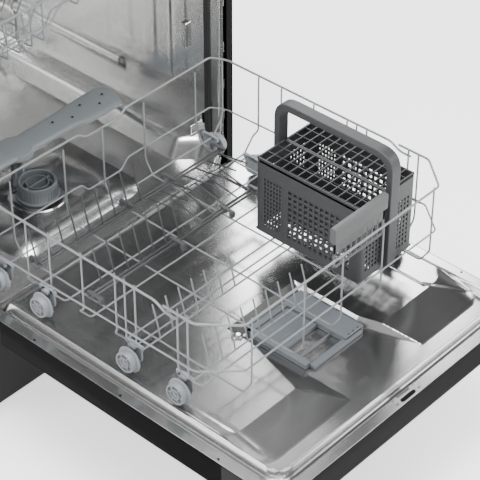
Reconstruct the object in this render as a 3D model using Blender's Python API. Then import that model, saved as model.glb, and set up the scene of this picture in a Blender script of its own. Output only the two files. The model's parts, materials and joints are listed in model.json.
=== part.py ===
"""Built-in dishwasher, door open and lower rack pulled out. Metres, +Z up, front faces -Y, feet on Z = 0."""

import math

import bmesh
import bpy
from mathutils import Matrix, Vector

# ---- driving dimensions -------------------------------------------------------------------------
WIDTH = 0.598
HEIGHT = 0.848
BACK_Y = 0.601
FREE_Y = -0.601
HINGE = Vector((0.0, 0.014, 0.227))
DOOR_Z = 0.265
DOOR_THICK = 0.050
DOOR_END_Y = 0.030
CONSOLE_DEPTH = 0.116
TUB_FRONT_Y = 0.054
TUB_BACK_Y = 0.592
TUB_X = 0.282
TUB_FLOOR_Z = 0.230
TUB_TOP_Z = 0.828
SHEET = 0.0015
BRACKET_CLEAR_Z = 0.236
TRACK_Z = 0.277
TRACK_START_Y = 0.100
GAP = 0.0003

RACK_X = 0.2705
RACK_FRONT_Y = -0.463
RACK_REAR_Y = 0.054
RACK_CORNER = 0.0465
RIM_Z = 0.471
MID_Z = 0.373
FLOOR_Z = 0.323
RIM_R = 0.0025
WIRE_R = 0.0018
# Where each cross wire runs along the floor, and where its uprights meet the side rims.
CROSS_WIRES = (
    (-0.392, -0.390), (-0.374, -0.370), (-0.271, -0.284), (-0.256, -0.263), (-0.235, -0.243),
    (-0.158, -0.172), (-0.101, -0.101), (-0.041, -0.050), (0.034, 0.034),
)
LONG_WIRE_X = (-0.206, -0.091, -0.004, 0.092, 0.216)
WHEEL_Y = (-0.358, -0.252, -0.060, 0.039)
WHEEL_R = 0.0225
WHEEL_X = 0.257
TINE_PITCH = 0.029
TINE_LENGTH = 0.070
UPRIGHT = math.radians(75)
FOLDED_FORWARD = math.radians(170)
FOLDED_BACK = math.radians(10)

BASKET_LOW = Vector((0.094, -0.414, 0.3265))
BASKET_HIGH = Vector((0.230, -0.197, 0.467))
BASKET_HANDLE_Z = 0.545

SUMP = Vector((0.0, 0.229, 0.0))
SUMP_R = 0.062
CUP_R = 0.035
ARM = Vector((0.0, 0.280, 0.308))
ARM_HALF = 0.235

UPPER_X = 0.250
UPPER_FRONT_Y = 0.092
UPPER_BACK_Y = 0.520
UPPER_RIM_Z = 0.711
UPPER_LOW_RIM_Z = 0.667
LOW_BAY_Z = 0.642
HIGH_BAY_Z = 0.674
BAY_STEP_X = -0.050
UPPER_ARM_Z = 0.612
UPPER_ARM_Y = 0.300

SEGMENTS = 24


# ---- helpers ------------------------------------------------------------------------------------
def clear_scene():
    for item in list(bpy.data.objects):
        bpy.data.objects.remove(item, do_unlink=True)


def material(name, colour, roughness, metallic=0.0):
    made = bpy.data.materials.new(name)
    made.use_nodes = True
    shader = made.node_tree.nodes["Principled BSDF"]
    shader.inputs["Base Color"].default_value = (*colour, 1.0)
    shader.inputs["Roughness"].default_value = roughness
    shader.inputs["Metallic"].default_value = metallic
    made.diffuse_color = (*colour, 1.0)
    return made


def face_outwards(bm):
    """Turns each separate shell so that its signed volume is positive."""
    bmesh.ops.recalc_face_normals(bm, faces=bm.faces)
    seen = set()
    for first in list(bm.faces):
        if first in seen:
            continue
        shell = [first]
        seen.add(first)
        for face in shell:
            for edge in face.edges:
                for other in edge.link_faces:
                    if other not in seen:
                        seen.add(other)
                        shell.append(other)
        if sum(face.verts[0].co.dot(face.normal) * face.calc_area() for face in shell) < 0:
            bmesh.ops.reverse_faces(bm, faces=shell)


def add(name, bm, mat, origin=(0, 0, 0), parent=None, smooth=False):
    """One object from a bmesh in world coordinates, with its origin where it is asked for."""
    origin = Vector(origin)
    face_outwards(bm)
    bmesh.ops.translate(bm, verts=bm.verts, vec=-origin)
    mesh = bpy.data.meshes.new(name)
    bm.to_mesh(mesh)
    bm.free()
    mesh.materials.append(mat)
    if smooth:
        mesh.shade_smooth()
        mesh.set_sharp_from_angle(angle=math.radians(35))
    made = bpy.data.objects.new(name, mesh)
    bpy.context.scene.collection.objects.link(made)
    made.location = origin
    if parent:
        bpy.context.view_layer.update()
        made.parent = parent
        made.matrix_parent_inverse = parent.matrix_world.inverted()
    return made


def pivot(name, place, parent=None):
    made = bpy.data.objects.new(name, None)
    bpy.context.scene.collection.objects.link(made)
    made.empty_display_size = 0.03
    made.location = place
    if parent:
        bpy.context.view_layer.update()
        made.parent = parent
        made.matrix_parent_inverse = parent.matrix_world.inverted()
    bpy.context.view_layer.update()
    return made


def boolean(target, bm, operation):
    """Adds a hidden helper made from bm and a Boolean that uses it."""
    number = len(target.modifiers) + 1
    helper = add(f"{target.name}_{operation.lower()}_{number}", bm, target.data.materials[0])
    helper.hide_render = True
    helper.display_type = "WIRE"
    if target.parent:
        helper.parent = target.parent
        helper.matrix_parent_inverse = target.parent.matrix_world.inverted()
    step = target.modifiers.new(operation.lower(), "BOOLEAN")
    step.operation = operation
    step.object = helper
    step.solver = "EXACT"
    return target


def block(bm, low, high):
    low, high = Vector(low), Vector(high)
    size = high - low
    place = Matrix.Translation((low + high) / 2) @ Matrix.Diagonal((*size, 1.0))
    bmesh.ops.create_cube(bm, size=1.0, matrix=place)
    return bm


def blocks(*pairs):
    bm = bmesh.new()
    for low, high in pairs:
        block(bm, low, high)
    return bm


def prism(bm, outline, axis, start, end):
    """Extrudes an outline of (u, v) points along axis 'X', 'Y' or 'Z'."""
    place = {
        "X": lambda u, v, w: (w, u, v),
        "Y": lambda u, v, w: (u, w, v),
        "Z": lambda u, v, w: (u, v, w),
    }[axis]
    first = [bm.verts.new(place(u, v, start)) for u, v in outline]
    last = [bm.verts.new(place(u, v, end)) for u, v in outline]
    count = len(outline)
    bm.faces.new(first)
    bm.faces.new(reversed(last))
    for i in range(count):
        j = (i + 1) % count
        bm.faces.new((first[i], first[j], last[j], last[i]))
    return bm


def rounded(width, height, radius, steps=3):
    """A rounded rectangle about the origin as (u, v) points."""
    points = []
    for corner in range(4):
        turn = corner * math.pi / 2
        sign_u = 1 if corner in (0, 3) else -1
        sign_v = 1 if corner in (0, 1) else -1
        for step in range(steps + 1):
            angle = turn + step * math.pi / 2 / steps
            points.append((
                sign_u * (width / 2 - radius) + radius * math.cos(angle),
                sign_v * (height / 2 - radius) + radius * math.sin(angle),
            ))
    return points


def shifted(outline, u, v):
    return [(a + u, b + v) for a, b in outline]


def revolve(bm, profile, centre, axis="Z", segments=SEGMENTS):
    """A closed solid of revolution: profile is (radius, height) from the axis out and back to it."""
    centre = Vector(centre)
    turn = {
        "Z": lambda r, h, a: Vector((r * math.cos(a), r * math.sin(a), h)),
        "X": lambda r, h, a: Vector((h, r * math.cos(a), r * math.sin(a))),
        "Y": lambda r, h, a: Vector((r * math.cos(a), h, r * math.sin(a))),
    }[axis]
    rings = []
    for radius, height in profile:
        if radius == 0:
            rings.append([bm.verts.new(centre + turn(0, height, 0))])
            continue
        rings.append([
            bm.verts.new(centre + turn(radius, height, 2 * math.pi * k / segments))
            for k in range(segments)
        ])
    for low, high in zip(rings, rings[1:]):
        for k in range(segments):
            n = (k + 1) % segments
            corners = [low[k % len(low)], low[n % len(low)], high[n % len(high)], high[k % len(high)]]
            unique = list(dict.fromkeys(corners))
            if len(unique) > 2:
                bm.faces.new(unique)
    return bm


def tube(bm, points, radius, sides=6):
    """A round wire along points, mitred at its bends and closed at both ends."""
    points = [Vector(p) for p in points]
    legs = [(b - a).normalized() for a, b in zip(points, points[1:])]
    side = legs[0].orthogonal().normalized()
    rings = []
    for i, point in enumerate(points):
        before, after = legs[max(i - 1, 0)], legs[min(i, len(legs) - 1)]
        normal = (before + after).normalized()
        # Carry the ring on along the incoming leg, onto the mitre plane.
        along = before
        other = along.cross(side)
        loop = []
        for k in range(sides):
            angle = 2 * math.pi * (k + 0.5) / sides
            arm = side * math.cos(angle) * radius + other * math.sin(angle) * radius
            loop.append(bm.verts.new(point + arm - along * (arm.dot(normal) / along.dot(normal))))
        rings.append(loop)
        side = before.rotation_difference(after) @ side
    for low, high in zip(rings, rings[1:]):
        for k in range(sides):
            n = (k + 1) % sides
            bm.faces.new((low[k], low[n], high[n], high[k]))
    bm.faces.new(rings[0])
    bm.faces.new(reversed(rings[-1]))
    return bm


def tubes(*wires):
    """Several wires that don't touch each other, as (points, radius) pairs."""
    bm = bmesh.new()
    for points, radius in wires:
        tube(bm, points, radius)
    return bm


def mirrored(points):
    """The same wire on the other side, as seen in the plane X = 0."""
    return [(-x, y, z) for x, y, z in points]


def both_sides(points):
    """A wire across the machine, from its left half to its mirror image."""
    return [*points, *reversed(mirrored(points))]


# ---- materials ----------------------------------------------------------------------------------
def make_materials():
    return {
        "steel": material("stainless", (0.62, 0.62, 0.61), 0.18, 1.0),
        "black": material("black_enamel", (0.012, 0.012, 0.013), 0.35),
        "console": material("console_black", (0.010, 0.010, 0.011), 0.28),
        "galvanised": material("galvanised", (0.48, 0.49, 0.50), 0.45, 1.0),
        "base": material("base_plastic", (0.035, 0.035, 0.037), 0.6),
        "rubber": material("seal_rubber", (0.018, 0.018, 0.018), 0.75),
        "wire": material("coated_wire", (0.36, 0.39, 0.41), 0.38),
        "tine": material("tine_plastic", (0.055, 0.058, 0.062), 0.45),
        "wheel": material("wheel_plastic", (0.33, 0.36, 0.38), 0.5),
        "arm": material("arm_plastic", (0.17, 0.19, 0.21), 0.5),
        "basket": material("basket_plastic", (0.045, 0.046, 0.048), 0.5),
        "plate": material("basket_plate_plastic", (0.10, 0.10, 0.105), 0.5),
        "filter": material("filter_plastic", (0.08, 0.09, 0.10), 0.5),
        "dispenser": material("dispenser_plastic", (0.25, 0.29, 0.33), 0.42),
        "motor": material("motor_housing", (0.16, 0.16, 0.17), 0.5, 1.0),
    }


# ---- cabinet ------------------------------------------------------------------------------------
def build_tub(mat):
    """Stainless tub, open to the front, with a front flange, wheel ledges and a sump hole."""
    outer_x = TUB_X + SHEET
    tub = add("tub", blocks((
        (-outer_x, TUB_FRONT_Y, TUB_FLOOR_Z - SHEET), (outer_x, TUB_BACK_Y + SHEET, TUB_TOP_Z + SHEET)
    )), mat["steel"])
    boolean(tub, blocks((
        (-TUB_X, TUB_FRONT_Y - 0.02, TUB_FLOOR_Z), (TUB_X, TUB_BACK_Y, TUB_TOP_Z)
    )), "DIFFERENCE")
    flange = bmesh.new()
    frame_low, frame_high = TUB_FLOOR_Z - 0.036, HEIGHT - 0.004
    flange_x = WIDTH / 2 - 0.0015
    front = (TUB_FRONT_Y - SHEET, TUB_FRONT_Y + 0.001)
    block(flange, (-flange_x, front[0], BRACKET_CLEAR_Z), (-TUB_X, front[1], frame_high))
    block(flange, (TUB_X, front[0], BRACKET_CLEAR_Z), (flange_x, front[1], frame_high))
    boolean(tub, flange, "UNION")
    boolean(tub, blocks(
        ((-TUB_X - 0.002, front[0] + 0.0001, TUB_TOP_Z),
         (TUB_X + 0.002, front[1] - 0.0001, frame_high - 0.0001)),
        ((-TUB_X - 0.002, front[0] + 0.0001, frame_low + 0.0001),
         (TUB_X + 0.002, front[1] - 0.0001, TUB_FLOOR_Z)),
    ), "UNION")
    ledge_inner = TUB_X - 0.040
    ledges = bmesh.new()
    for side in (-1, 1):
        outline = [
            (side * ledge_inner, TRACK_Z - 0.004), (side * (ledge_inner + 0.004), TRACK_Z),
            (side * (TUB_X + 0.0008), TRACK_Z), (side * (TUB_X + 0.0008), TRACK_Z - 0.030),
            (side * (TUB_X - 0.012), TRACK_Z - 0.018), (side * ledge_inner, TRACK_Z - 0.006),
        ]
        prism(ledges, outline, "Y", TRACK_START_Y, TUB_BACK_Y + 0.0008)
    boolean(tub, ledges, "UNION")
    hole = bmesh.new()
    revolve(hole, [(0, 0.20), (SUMP_R, 0.20), (SUMP_R, 0.26), (0, 0.26)], SUMP)
    boolean(tub, hole, "DIFFERENCE")
    return tub


def build_casing(mat):
    half = WIDTH / 2
    for name, side in (("side_panel_left", -1), ("side_panel_right", 1)):
        outer, inner = side * half, side * (half - 0.001)
        panel = add(name, blocks((
            (min(outer, inner), 0.040, 0.060), (max(outer, inner), BACK_Y, HEIGHT - 0.003)
        )), mat["black"])
        lip_outer, lip_inner = side * (half - 0.0005), side * (half - 0.014)
        boolean(panel, blocks((
            (min(lip_outer, lip_inner), 0.0405, BRACKET_CLEAR_Z),
            (max(lip_outer, lip_inner), 0.0415, HEIGHT - 0.0035)
        )), "UNION")
    add("top_cover", blocks((
        (-half + 0.0013, 0.060, HEIGHT - 0.0015), (half - 0.0013, BACK_Y - 0.0025, HEIGHT)
    )), mat["galvanised"])
    back = add("back_panel", blocks((
        (-half + 0.002, BACK_Y - 0.0035, 0.205), (half - 0.002, BACK_Y - 0.002, HEIGHT - 0.006)
    )), mat["galvanised"])
    spacers = bmesh.new()
    for side in (-1, 1):
        block(spacers, (side * 0.20 - 0.02, TUB_BACK_Y + SHEET + GAP, 0.60),
              (side * 0.20 + 0.02, BACK_Y - 0.003, 0.62))
    boolean(back, spacers, "UNION")


def build_gasket(mat):
    """Rubber door seal up both sides and over the top of the tub opening."""
    inner, outer = TUB_X - 0.0062, TUB_X - GAP
    start, top = TUB_FLOOR_Z + 0.052, TUB_TOP_Z - GAP
    bm = bmesh.new()
    outline = [
        (-outer, start), (-outer, top), (outer, top), (outer, start),
        (inner, start), (inner, top - 0.006), (-inner, top - 0.006), (-inner, start),
    ]
    prism(bm, outline, "Y", TUB_FRONT_Y + 0.020, TUB_FRONT_Y + 0.036)
    add("door_gasket", bm, mat["rubber"])


def build_base(mat):
    half = WIDTH / 2 - 0.0015
    top = 0.196
    tray = add("base_tray", blocks(((-half, 0.078, 0.030), (half, BACK_Y - 0.004, top))), mat["base"])
    hollow = blocks(((-half + 0.004, 0.082, 0.035), (half - 0.004, BACK_Y - 0.008, top + 0.02)))
    boolean(tray, hollow, "DIFFERENCE")
    add("plinth", blocks(((-half + 0.001, 0.074, 0.006), (half - 0.001, 0.0777, top - 0.002))), mat["base"])
    for name, x, y in (
        ("foot_front_left", -0.262, 0.120), ("foot_front_right", 0.262, 0.120),
        ("foot_rear_left", -0.262, 0.560), ("foot_rear_right", 0.262, 0.560),
    ):
        foot = bmesh.new()
        revolve(foot, [(0, 0), (0.019, 0), (0.021, 0.003), (0.021, 0.008), (0.009, 0.011), (0.006, 0.012),
                       (0.006, 0.0297), (0, 0.0297)], (x, y, 0), segments=18)
        add(name, foot, mat["base"], smooth=True)


def build_hydraulics(mat):
    under = TUB_FLOOR_Z - SHEET - GAP
    sump = bmesh.new()
    revolve(sump, [
        (0, 0.150), (0.045, 0.150), (0.0600, 0.170), (0.0600, under - 0.003), (0.0720, under - 0.003),
        (0.0720, under), (0.0605, under), (0.0605, under + 0.0012), (0.0570, under + 0.0012), (0.0570, 0.172),
        (0.0430, 0.154), (0, 0.154),
    ], SUMP)
    add("sump", sump, mat["base"], smooth=True)

    plate = bmesh.new()
    outline = shifted(rounded(0.300, 0.250, 0.045), SUMP.x, SUMP.y)
    prism(plate, outline, "Z", TUB_FLOOR_Z + GAP, TUB_FLOOR_Z + 0.0018)
    plate = add("filter_plate", plate, mat["steel"])
    hole = bmesh.new()
    revolve(hole, [(0, 0.20), (CUP_R + 0.0010, 0.20), (CUP_R + 0.0010, 0.26), (0, 0.26)], SUMP)
    boolean(plate, hole, "DIFFERENCE")

    post = bmesh.new()
    revolve(post, [(0, TUB_FLOOR_Z + 0.0021), (0.0120, TUB_FLOOR_Z + 0.0021), (0.0120, ARM.z - 0.0133),
                   (0, ARM.z - 0.0133)], (ARM.x, ARM.y, 0), segments=16)
    add("spray_arm_post", post, mat["filter"], smooth=True)

    pump = bmesh.new()
    revolve(pump, [(0, -0.060), (0.040, -0.060), (0.047, -0.050), (0.047, 0.050), (0.056, 0.055),
                   (0.056, 0.080), (0, 0.080)], (-0.130, 0.270, 0.100), axis="X")
    pump = add("circulation_pump", pump, mat["motor"], smooth=True)
    boolean(pump, blocks(((-0.165, 0.235, 0.0355), (-0.095, 0.305, 0.070))), "UNION")

    add("drain_pump", blocks(((0.150, 0.330, 0.0355), (0.230, 0.420, 0.115))), mat["arm"])
    add("base_weight", blocks(((-0.180, 0.520, 0.0355), (0.180, BACK_Y - 0.0090, 0.075))), mat["galvanised"])

    pipe = bmesh.new()
    outline = shifted(rounded(0.022, 0.014, 0.005, 2), 0.0, TUB_BACK_Y - 0.010)
    prism(pipe, outline, "Z", 0.485, TUB_TOP_Z - GAP)
    pipe = add("feed_pipe", pipe, mat["arm"])
    elbow = bmesh.new()
    prism(elbow, shifted(rounded(0.020, 0.010, 0.004, 2), 0.0, UPPER_ARM_Z), "Y",
          TUB_BACK_Y - 0.040, TUB_BACK_Y - 0.008)
    boolean(pipe, elbow, "UNION")


def build_hinges(mat):
    for name, side in (("hinge_bracket_left", -1), ("hinge_bracket_right", 1)):
        inner, outer = sorted((side * 0.2880, side * 0.2925))
        bm = bmesh.new()
        nose = []
        for step in range(9):
            angle = math.pi / 2 + step * math.pi / 8
            nose.append((HINGE.y + 0.0075 * math.cos(angle), HINGE.z + 0.0075 * math.sin(angle)))
        outline = [*nose, (0.050, 0.2000), (0.150, 0.1985), (0.150, 0.2215), (0.060, 0.2235), (0.050, 0.2345)]
        prism(bm, outline, "X", inner, outer)
        add(name, bm, mat["galvanised"])


def build_rails(mat):
    for name, side in (("upper_rail_left", -1), ("upper_rail_right", 1)):
        bm = bmesh.new()
        wall, face, floor, lip = TUB_X - GAP, 0.2715, 0.677, 0.2640
        outline = [
            (side * wall, 0.704), (side * face, 0.704), (side * face, 0.6795), (side * lip, 0.6795),
            (side * lip, floor), (side * wall, floor),
        ]
        prism(bm, outline, "Y", 0.100, 0.560)
        add(name, bm, mat["steel"])


def build_filter(mat):
    """Filter cup that lifts out of the sump: a ring, a cup wall with windows and a grip bar."""
    body = bmesh.new()
    rest, bottom, top = TUB_FLOOR_Z + 0.0021, 0.178, 0.265
    revolve(body, [
        (0, bottom), (CUP_R, bottom), (CUP_R, rest), (CUP_R + 0.0030, rest), (CUP_R + 0.0030, rest + 0.0015),
        (CUP_R, rest + 0.0030), (CUP_R, top), (CUP_R - 0.0040, top), (CUP_R - 0.0040, bottom + 0.003),
        (0, bottom + 0.003),
    ], SUMP)
    cup = add("filter_cylinder", body, mat["filter"], origin=(SUMP.x, SUMP.y, rest), smooth=True)
    windows = bmesh.new()
    for step in range(4):
        turn = Matrix.Translation(SUMP) @ Matrix.Rotation(math.pi / 4 + step * math.pi / 2, 4, "Z")
        start = len(windows.verts)
        block(windows, (CUP_R - 0.010, -0.011, 0.243), (CUP_R + 0.006, 0.011, 0.258))
        windows.verts.ensure_lookup_table()
        bmesh.ops.transform(windows, matrix=turn, verts=windows.verts[start:])
    boolean(cup, windows, "DIFFERENCE")
    grip = CUP_R - 0.002
    boolean(cup, blocks(((-grip, SUMP.y - 0.003, 0.246), (grip, SUMP.y + 0.003, 0.262))), "UNION")


def arm_outline(half, root, tip):
    """Half of a spray arm's outline in plan, wide at its paddle ends."""
    return [(0.030, -root), (half * 0.55, -root), (half * 0.62, -tip), (half - 0.012, -tip),
            (half, -tip + 0.012), (half, tip - 0.016), (half - 0.016, tip), (half * 0.50, tip * 0.95), (0.030, root)]


def build_spray_arm(name, centre, half, mat, hub):
    right = arm_outline(half, 0.027, 0.036)
    left = [(-x, -y) for x, y in right]
    bm = bmesh.new()
    prism(bm, shifted([*right, *left], centre.x, centre.y), "Z", centre.z - 0.007, centre.z + 0.007)
    arm = add(name, bm, mat["arm"], origin=centre)
    cap = bmesh.new()
    revolve(cap, hub, centre)
    boolean(arm, cap, "UNION")
    nozzles = bmesh.new()
    for side in (-1, 1):
        for step in range(4):
            revolve(nozzles, [(0, 0.004), (0.0035, 0.004), (0.0035, 0.010), (0, 0.010)],
                    (centre.x + side * (0.070 + 0.042 * step), centre.y + side * 0.006, centre.z), segments=8)
    boolean(arm, nozzles, "DIFFERENCE")


# ---- door ---------------------------------------------------------------------------------------
DISPENSER_LOW = Vector((-0.061, -0.451, 0.2523))
DISPENSER_HIGH = Vector((0.071, -0.316, 0.2700))


def door_height(x, y):
    """Height of the door's inner sheet: flange, groove, lip, raised field, front slope and middle trough."""
    from_side = WIDTH / 2 - abs(x)
    from_end = y - FREE_Y
    edge = min(from_side, from_end + 0.004)
    if y > HINGE.y + 0.002:
        return 0.2465
    if edge < 0.0225:
        return DOOR_Z
    if edge < 0.0275:
        return DOOR_Z - 0.004
    if edge < 0.0345:
        return TRACK_Z + 0.001
    if abs(x - 0.005) < 0.069 and 0.064 < from_end < 0.330:
        return DISPENSER_LOW.z - GAP
    if from_end < 0.080:
        return DOOR_Z - 0.003
    return TRACK_Z - 0.0005


def build_door_inner(mat, parent):
    half = WIDTH / 2
    left = (half, half - 0.022, half - 0.024, half - 0.027, half - 0.029, half - 0.033, half - 0.036)
    xs = [-v for v in left] + [-0.112, -0.070, -0.062, 0.072, 0.080, 0.122] + list(reversed(left))
    ys = [FREE_Y + v for v in (0, 0.018, 0.020, 0.023, 0.025, 0.029, 0.036, 0.062, 0.068, 0.078)]
    ys += [FREE_Y + v for v in (0.132, 0.320, 0.332)]
    ys += [HINGE.y - 0.016, HINGE.y + 0.004, DOOR_END_Y]
    sheet = 0.0012
    bm = bmesh.new()
    top = [[bm.verts.new((x, y, door_height(x, y))) for x in xs] for y in ys]
    low = [[bm.verts.new((x, y, door_height(x, y) - sheet)) for x in xs] for y in ys]
    rows, columns = len(ys), len(xs)
    for i in range(rows - 1):
        for j in range(columns - 1):
            bm.faces.new((top[i][j], top[i][j + 1], top[i + 1][j + 1], top[i + 1][j]))
            bm.faces.new((low[i][j], low[i + 1][j], low[i + 1][j + 1], low[i][j + 1]))
    rim = [(0, j) for j in range(columns)] + [(i, columns - 1) for i in range(1, rows)]
    rim += [(rows - 1, j) for j in range(columns - 2, -1, -1)] + [(i, 0) for i in range(rows - 2, 0, -1)]
    for (a, b), (c, d) in zip(rim, rim[1:] + rim[:1]):
        bm.faces.new((top[a][b], low[a][b], low[c][d], top[c][d]))
    bmesh.ops.triangulate(bm, faces=bm.faces)
    inner = add("door_inner", bm, mat["steel"], origin=HINGE, parent=parent)
    boolean(inner, blocks(((-0.017, FREE_Y + 0.004, 0.25), (0.017, FREE_Y + 0.012, 0.28))), "DIFFERENCE")


def build_door_outer(mat, parent):
    """Black outer skin, a tray that is open towards the inner sheet and at its hinge end."""
    half = WIDTH / 2
    low, high = DOOR_Z - DOOR_THICK, DOOR_Z - 0.0012 - GAP
    start = FREE_Y + CONSOLE_DEPTH + 0.0005
    end = HINGE.y - 0.004
    wall = 0.0016
    skin = blocks(((-half, start, low), (half, end, high)))
    skin = add("door_outer", skin, mat["black"], origin=HINGE, parent=parent)
    boolean(skin, blocks(((-half + wall, start - 0.01, low + wall), (half - wall, end + 0.01, high + 0.01))),
            "DIFFERENCE")
    hinge_room = blocks(((-half - 0.01, HINGE.y - 0.0165, 0.2448), (half + 0.01, end + 0.02, high + 0.02)))
    boolean(skin, hinge_room, "DIFFERENCE")

    console = blocks(((-half, FREE_Y, low), (half, start - 0.0005, high)))
    console = add("control_panel", console, mat["console"],
                  origin=HINGE, parent=parent)
    shell = 0.003
    boolean(console, blocks(((-half + shell, FREE_Y + shell, low + 0.008),
                             (half - shell, start + 0.01, high + 0.01))),
            "DIFFERENCE")
    pockets = bmesh.new()
    for _, x, width in BUTTONS:
        block(pockets, (x - width / 2 - GAP, BUTTON_Y[0] - GAP, low - 0.01),
              (x + width / 2 + GAP, BUTTON_Y[1] + GAP, low + 0.0060))
    boolean(console, pockets, "DIFFERENCE")


BUTTONS = (("button_power", -0.240, 0.022), ("button_program", -0.120, 0.016), ("button_start", 0.240, 0.022))
BUTTON_Y = (-0.572, -0.560)


def build_door_fittings(mat, parent):
    low = DOOR_Z - DOOR_THICK
    for name, x, width in BUTTONS:
        face = low - 0.0018
        add(name, blocks(((x - width / 2, BUTTON_Y[0], face), (x + width / 2, BUTTON_Y[1], face + 0.0058))),
            mat["plate"], origin=(x, sum(BUTTON_Y) / 2, face), parent=parent)

    latch = blocks(((-0.0160, FREE_Y + 0.0048, 0.2535), (0.0160, FREE_Y + 0.0112, 0.2625)))
    add("door_latch", latch, mat["base"],
        origin=(0, FREE_Y + 0.008, 0.2580), parent=parent)

    body = blocks((DISPENSER_LOW, DISPENSER_HIGH))
    body = add("dispenser_body", body, mat["dispenser"], origin=DISPENSER_LOW,
               parent=parent)
    chamber = bmesh.new()
    block(chamber, (-0.046, -0.440, 0.2560), (0.028, -0.392, 0.29))
    boolean(body, chamber, "DIFFERENCE")
    recess = bmesh.new()
    block(recess, (-0.050, -0.455, 0.2668), (0.032, -0.310, 0.29))
    boolean(body, recess, "DIFFERENCE")
    pocket = bmesh.new()
    revolve(pocket, [(0, 0.262), (0.0155, 0.262), (0.0155, 0.29), (0, 0.29)],
            (0.0515, -0.420, 0), segments=20)
    boolean(body, pocket, "DIFFERENCE")

    lid = blocks(((-0.0497, -0.388, 0.2671), (0.0317, -0.320, 0.2697)))
    lid = add("dispenser_lid", lid, mat["dispenser"], origin=(-0.009, -0.354, 0.2671), parent=parent)
    boolean(lid, blocks(((-0.030, -0.386, 0.2690), (0.012, -0.381, 0.2725))), "UNION")

    cap = bmesh.new()
    revolve(cap, [(0, 0.2623), (0.0152, 0.2623), (0.0152, 0.2705), (0.0135, 0.2715), (0, 0.2715)],
            (0.0515, -0.420, 0), segments=20)
    cap = add("rinse_cap", cap, mat["dispenser"], origin=(0.0515, -0.420, 0.2623), parent=parent)
    boolean(cap, blocks(((0.0395, -0.4215, 0.2710), (0.0635, -0.4185, 0.2745))), "UNION")


# ---- lower rack ---------------------------------------------------------------------------------
def build_rack_floor(mat, parent):
    drop, foot = 0.350, 0.240
    cross = []
    for y, _ in CROSS_WIRES:
        cross.append((both_sides([(-0.262, y, drop), (-foot, y, FLOOR_Z)]), WIRE_R))
    floor = add("rack_floor", tubes(*cross), mat["wire"], parent=parent)

    long_z = FLOOR_Z - 0.003
    long_wires = []
    for x in LONG_WIRE_X:
        long_wires.append(([(x, RACK_FRONT_Y + 0.0025, 0.3465), (x, RACK_FRONT_Y + 0.020, long_z),
                            (x, RACK_REAR_Y - 0.020, long_z), (x, RACK_REAR_Y - 0.0035, 0.3465)], WIRE_R))
    boolean(floor, tubes(*long_wires), "UNION")

    tines = []
    for row_y, count in ((CROSS_WIRES[2][0], 7), (CROSS_WIRES[1][0], 9)):
        for step in range(count):
            x = -0.2035 + 0.028 * step
            tines.append(([(x, row_y, FLOOR_Z + 0.0005), (x, row_y + 0.015, FLOOR_Z + 0.058)], WIRE_R * 0.9))
    boolean(floor, tubes(*tines), "UNION")

    clips = bmesh.new()
    for y in WHEEL_Y:
        for side in (-1, 1):
            low, high = sorted((side * 0.2455, side * 0.2370))
            block(clips, (low, y - 0.0185, 0.2975), (high, y + 0.0185, 0.3285))
    boolean(floor, clips, "UNION")


def build_rack_side(name, side, mat, parent):
    rear_rim = [
        (-0.2695, 0.0375, RIM_Z), (-0.2695, -0.330, RIM_Z),
        (-0.2695, -0.348, 0.460), (-0.2695, -0.374, 0.460),
    ]
    mid_rim = [(-0.2695, 0.0375, MID_Z - 0.006), (-0.2695, -0.398, MID_Z + 0.007)]
    uprights = []
    for floor_y, y in CROSS_WIRES:
        top = RIM_Z + 0.004 if y < -0.36 else RIM_Z
        uprights.append([(-0.2659, y, top), (-0.2659, y, MID_Z - 0.010), (-0.2625, floor_y, 0.3520)])
    if side > 0:
        rear_rim, mid_rim = mirrored(rear_rim), mirrored(mid_rim)
        uprights = [mirrored(wire) for wire in uprights]
    panel = add(name, tubes(*((wire, WIRE_R) for wire in uprights)), mat["wire"], parent=parent)
    boolean(panel, tubes((rear_rim, RIM_R), (mid_rim, WIRE_R * 1.1)), "UNION")


def build_rack_front(mat, parent):
    uprights = []
    for x in LONG_WIRE_X:
        uprights.append(([(x, RACK_FRONT_Y + 0.0032, RIM_Z), (x, RACK_FRONT_Y + 0.0032, 0.3490)], WIRE_R))
    front = add("rack_front", tubes(*uprights), mat["wire"], parent=parent)
    turn_x = RACK_X - RACK_CORNER
    top = both_sides([
        (-RACK_X, -0.348, RIM_Z), (-RACK_X, RACK_FRONT_Y + 0.056, RIM_Z), (-turn_x, RACK_FRONT_Y, RIM_Z),
    ])
    mid = both_sides([
        (-RACK_X, RACK_FRONT_Y + 0.0610, MID_Z + 0.008), (-turn_x, RACK_FRONT_Y, MID_Z + 0.012),
    ])
    boolean(front, tubes((top, RIM_R), (mid, WIRE_R * 1.1)), "UNION")


def build_rack_rear(mat, parent):
    uprights = []
    for x in LONG_WIRE_X:
        upright_y = RACK_REAR_Y - 0.0032
        uprights.append(([(x, upright_y, RIM_Z - 0.012), (x, upright_y, 0.3500)], WIRE_R))
    rear = add("rack_rear", tubes(*uprights), mat["wire"], parent=parent)
    top = both_sides([(-0.2695, RACK_REAR_Y - 0.0130, RIM_Z), (-0.258, RACK_REAR_Y, RIM_Z),
                      (-0.120, RACK_REAR_Y, RIM_Z - 0.004), (-0.105, RACK_REAR_Y, RIM_Z - 0.015)])
    mid = both_sides([(-0.2695, RACK_REAR_Y - 0.0130, MID_Z - 0.006), (-0.258, RACK_REAR_Y, MID_Z - 0.006)])
    boolean(rear, tubes((top, RIM_R), (mid, WIRE_R * 1.1)), "UNION")


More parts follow.
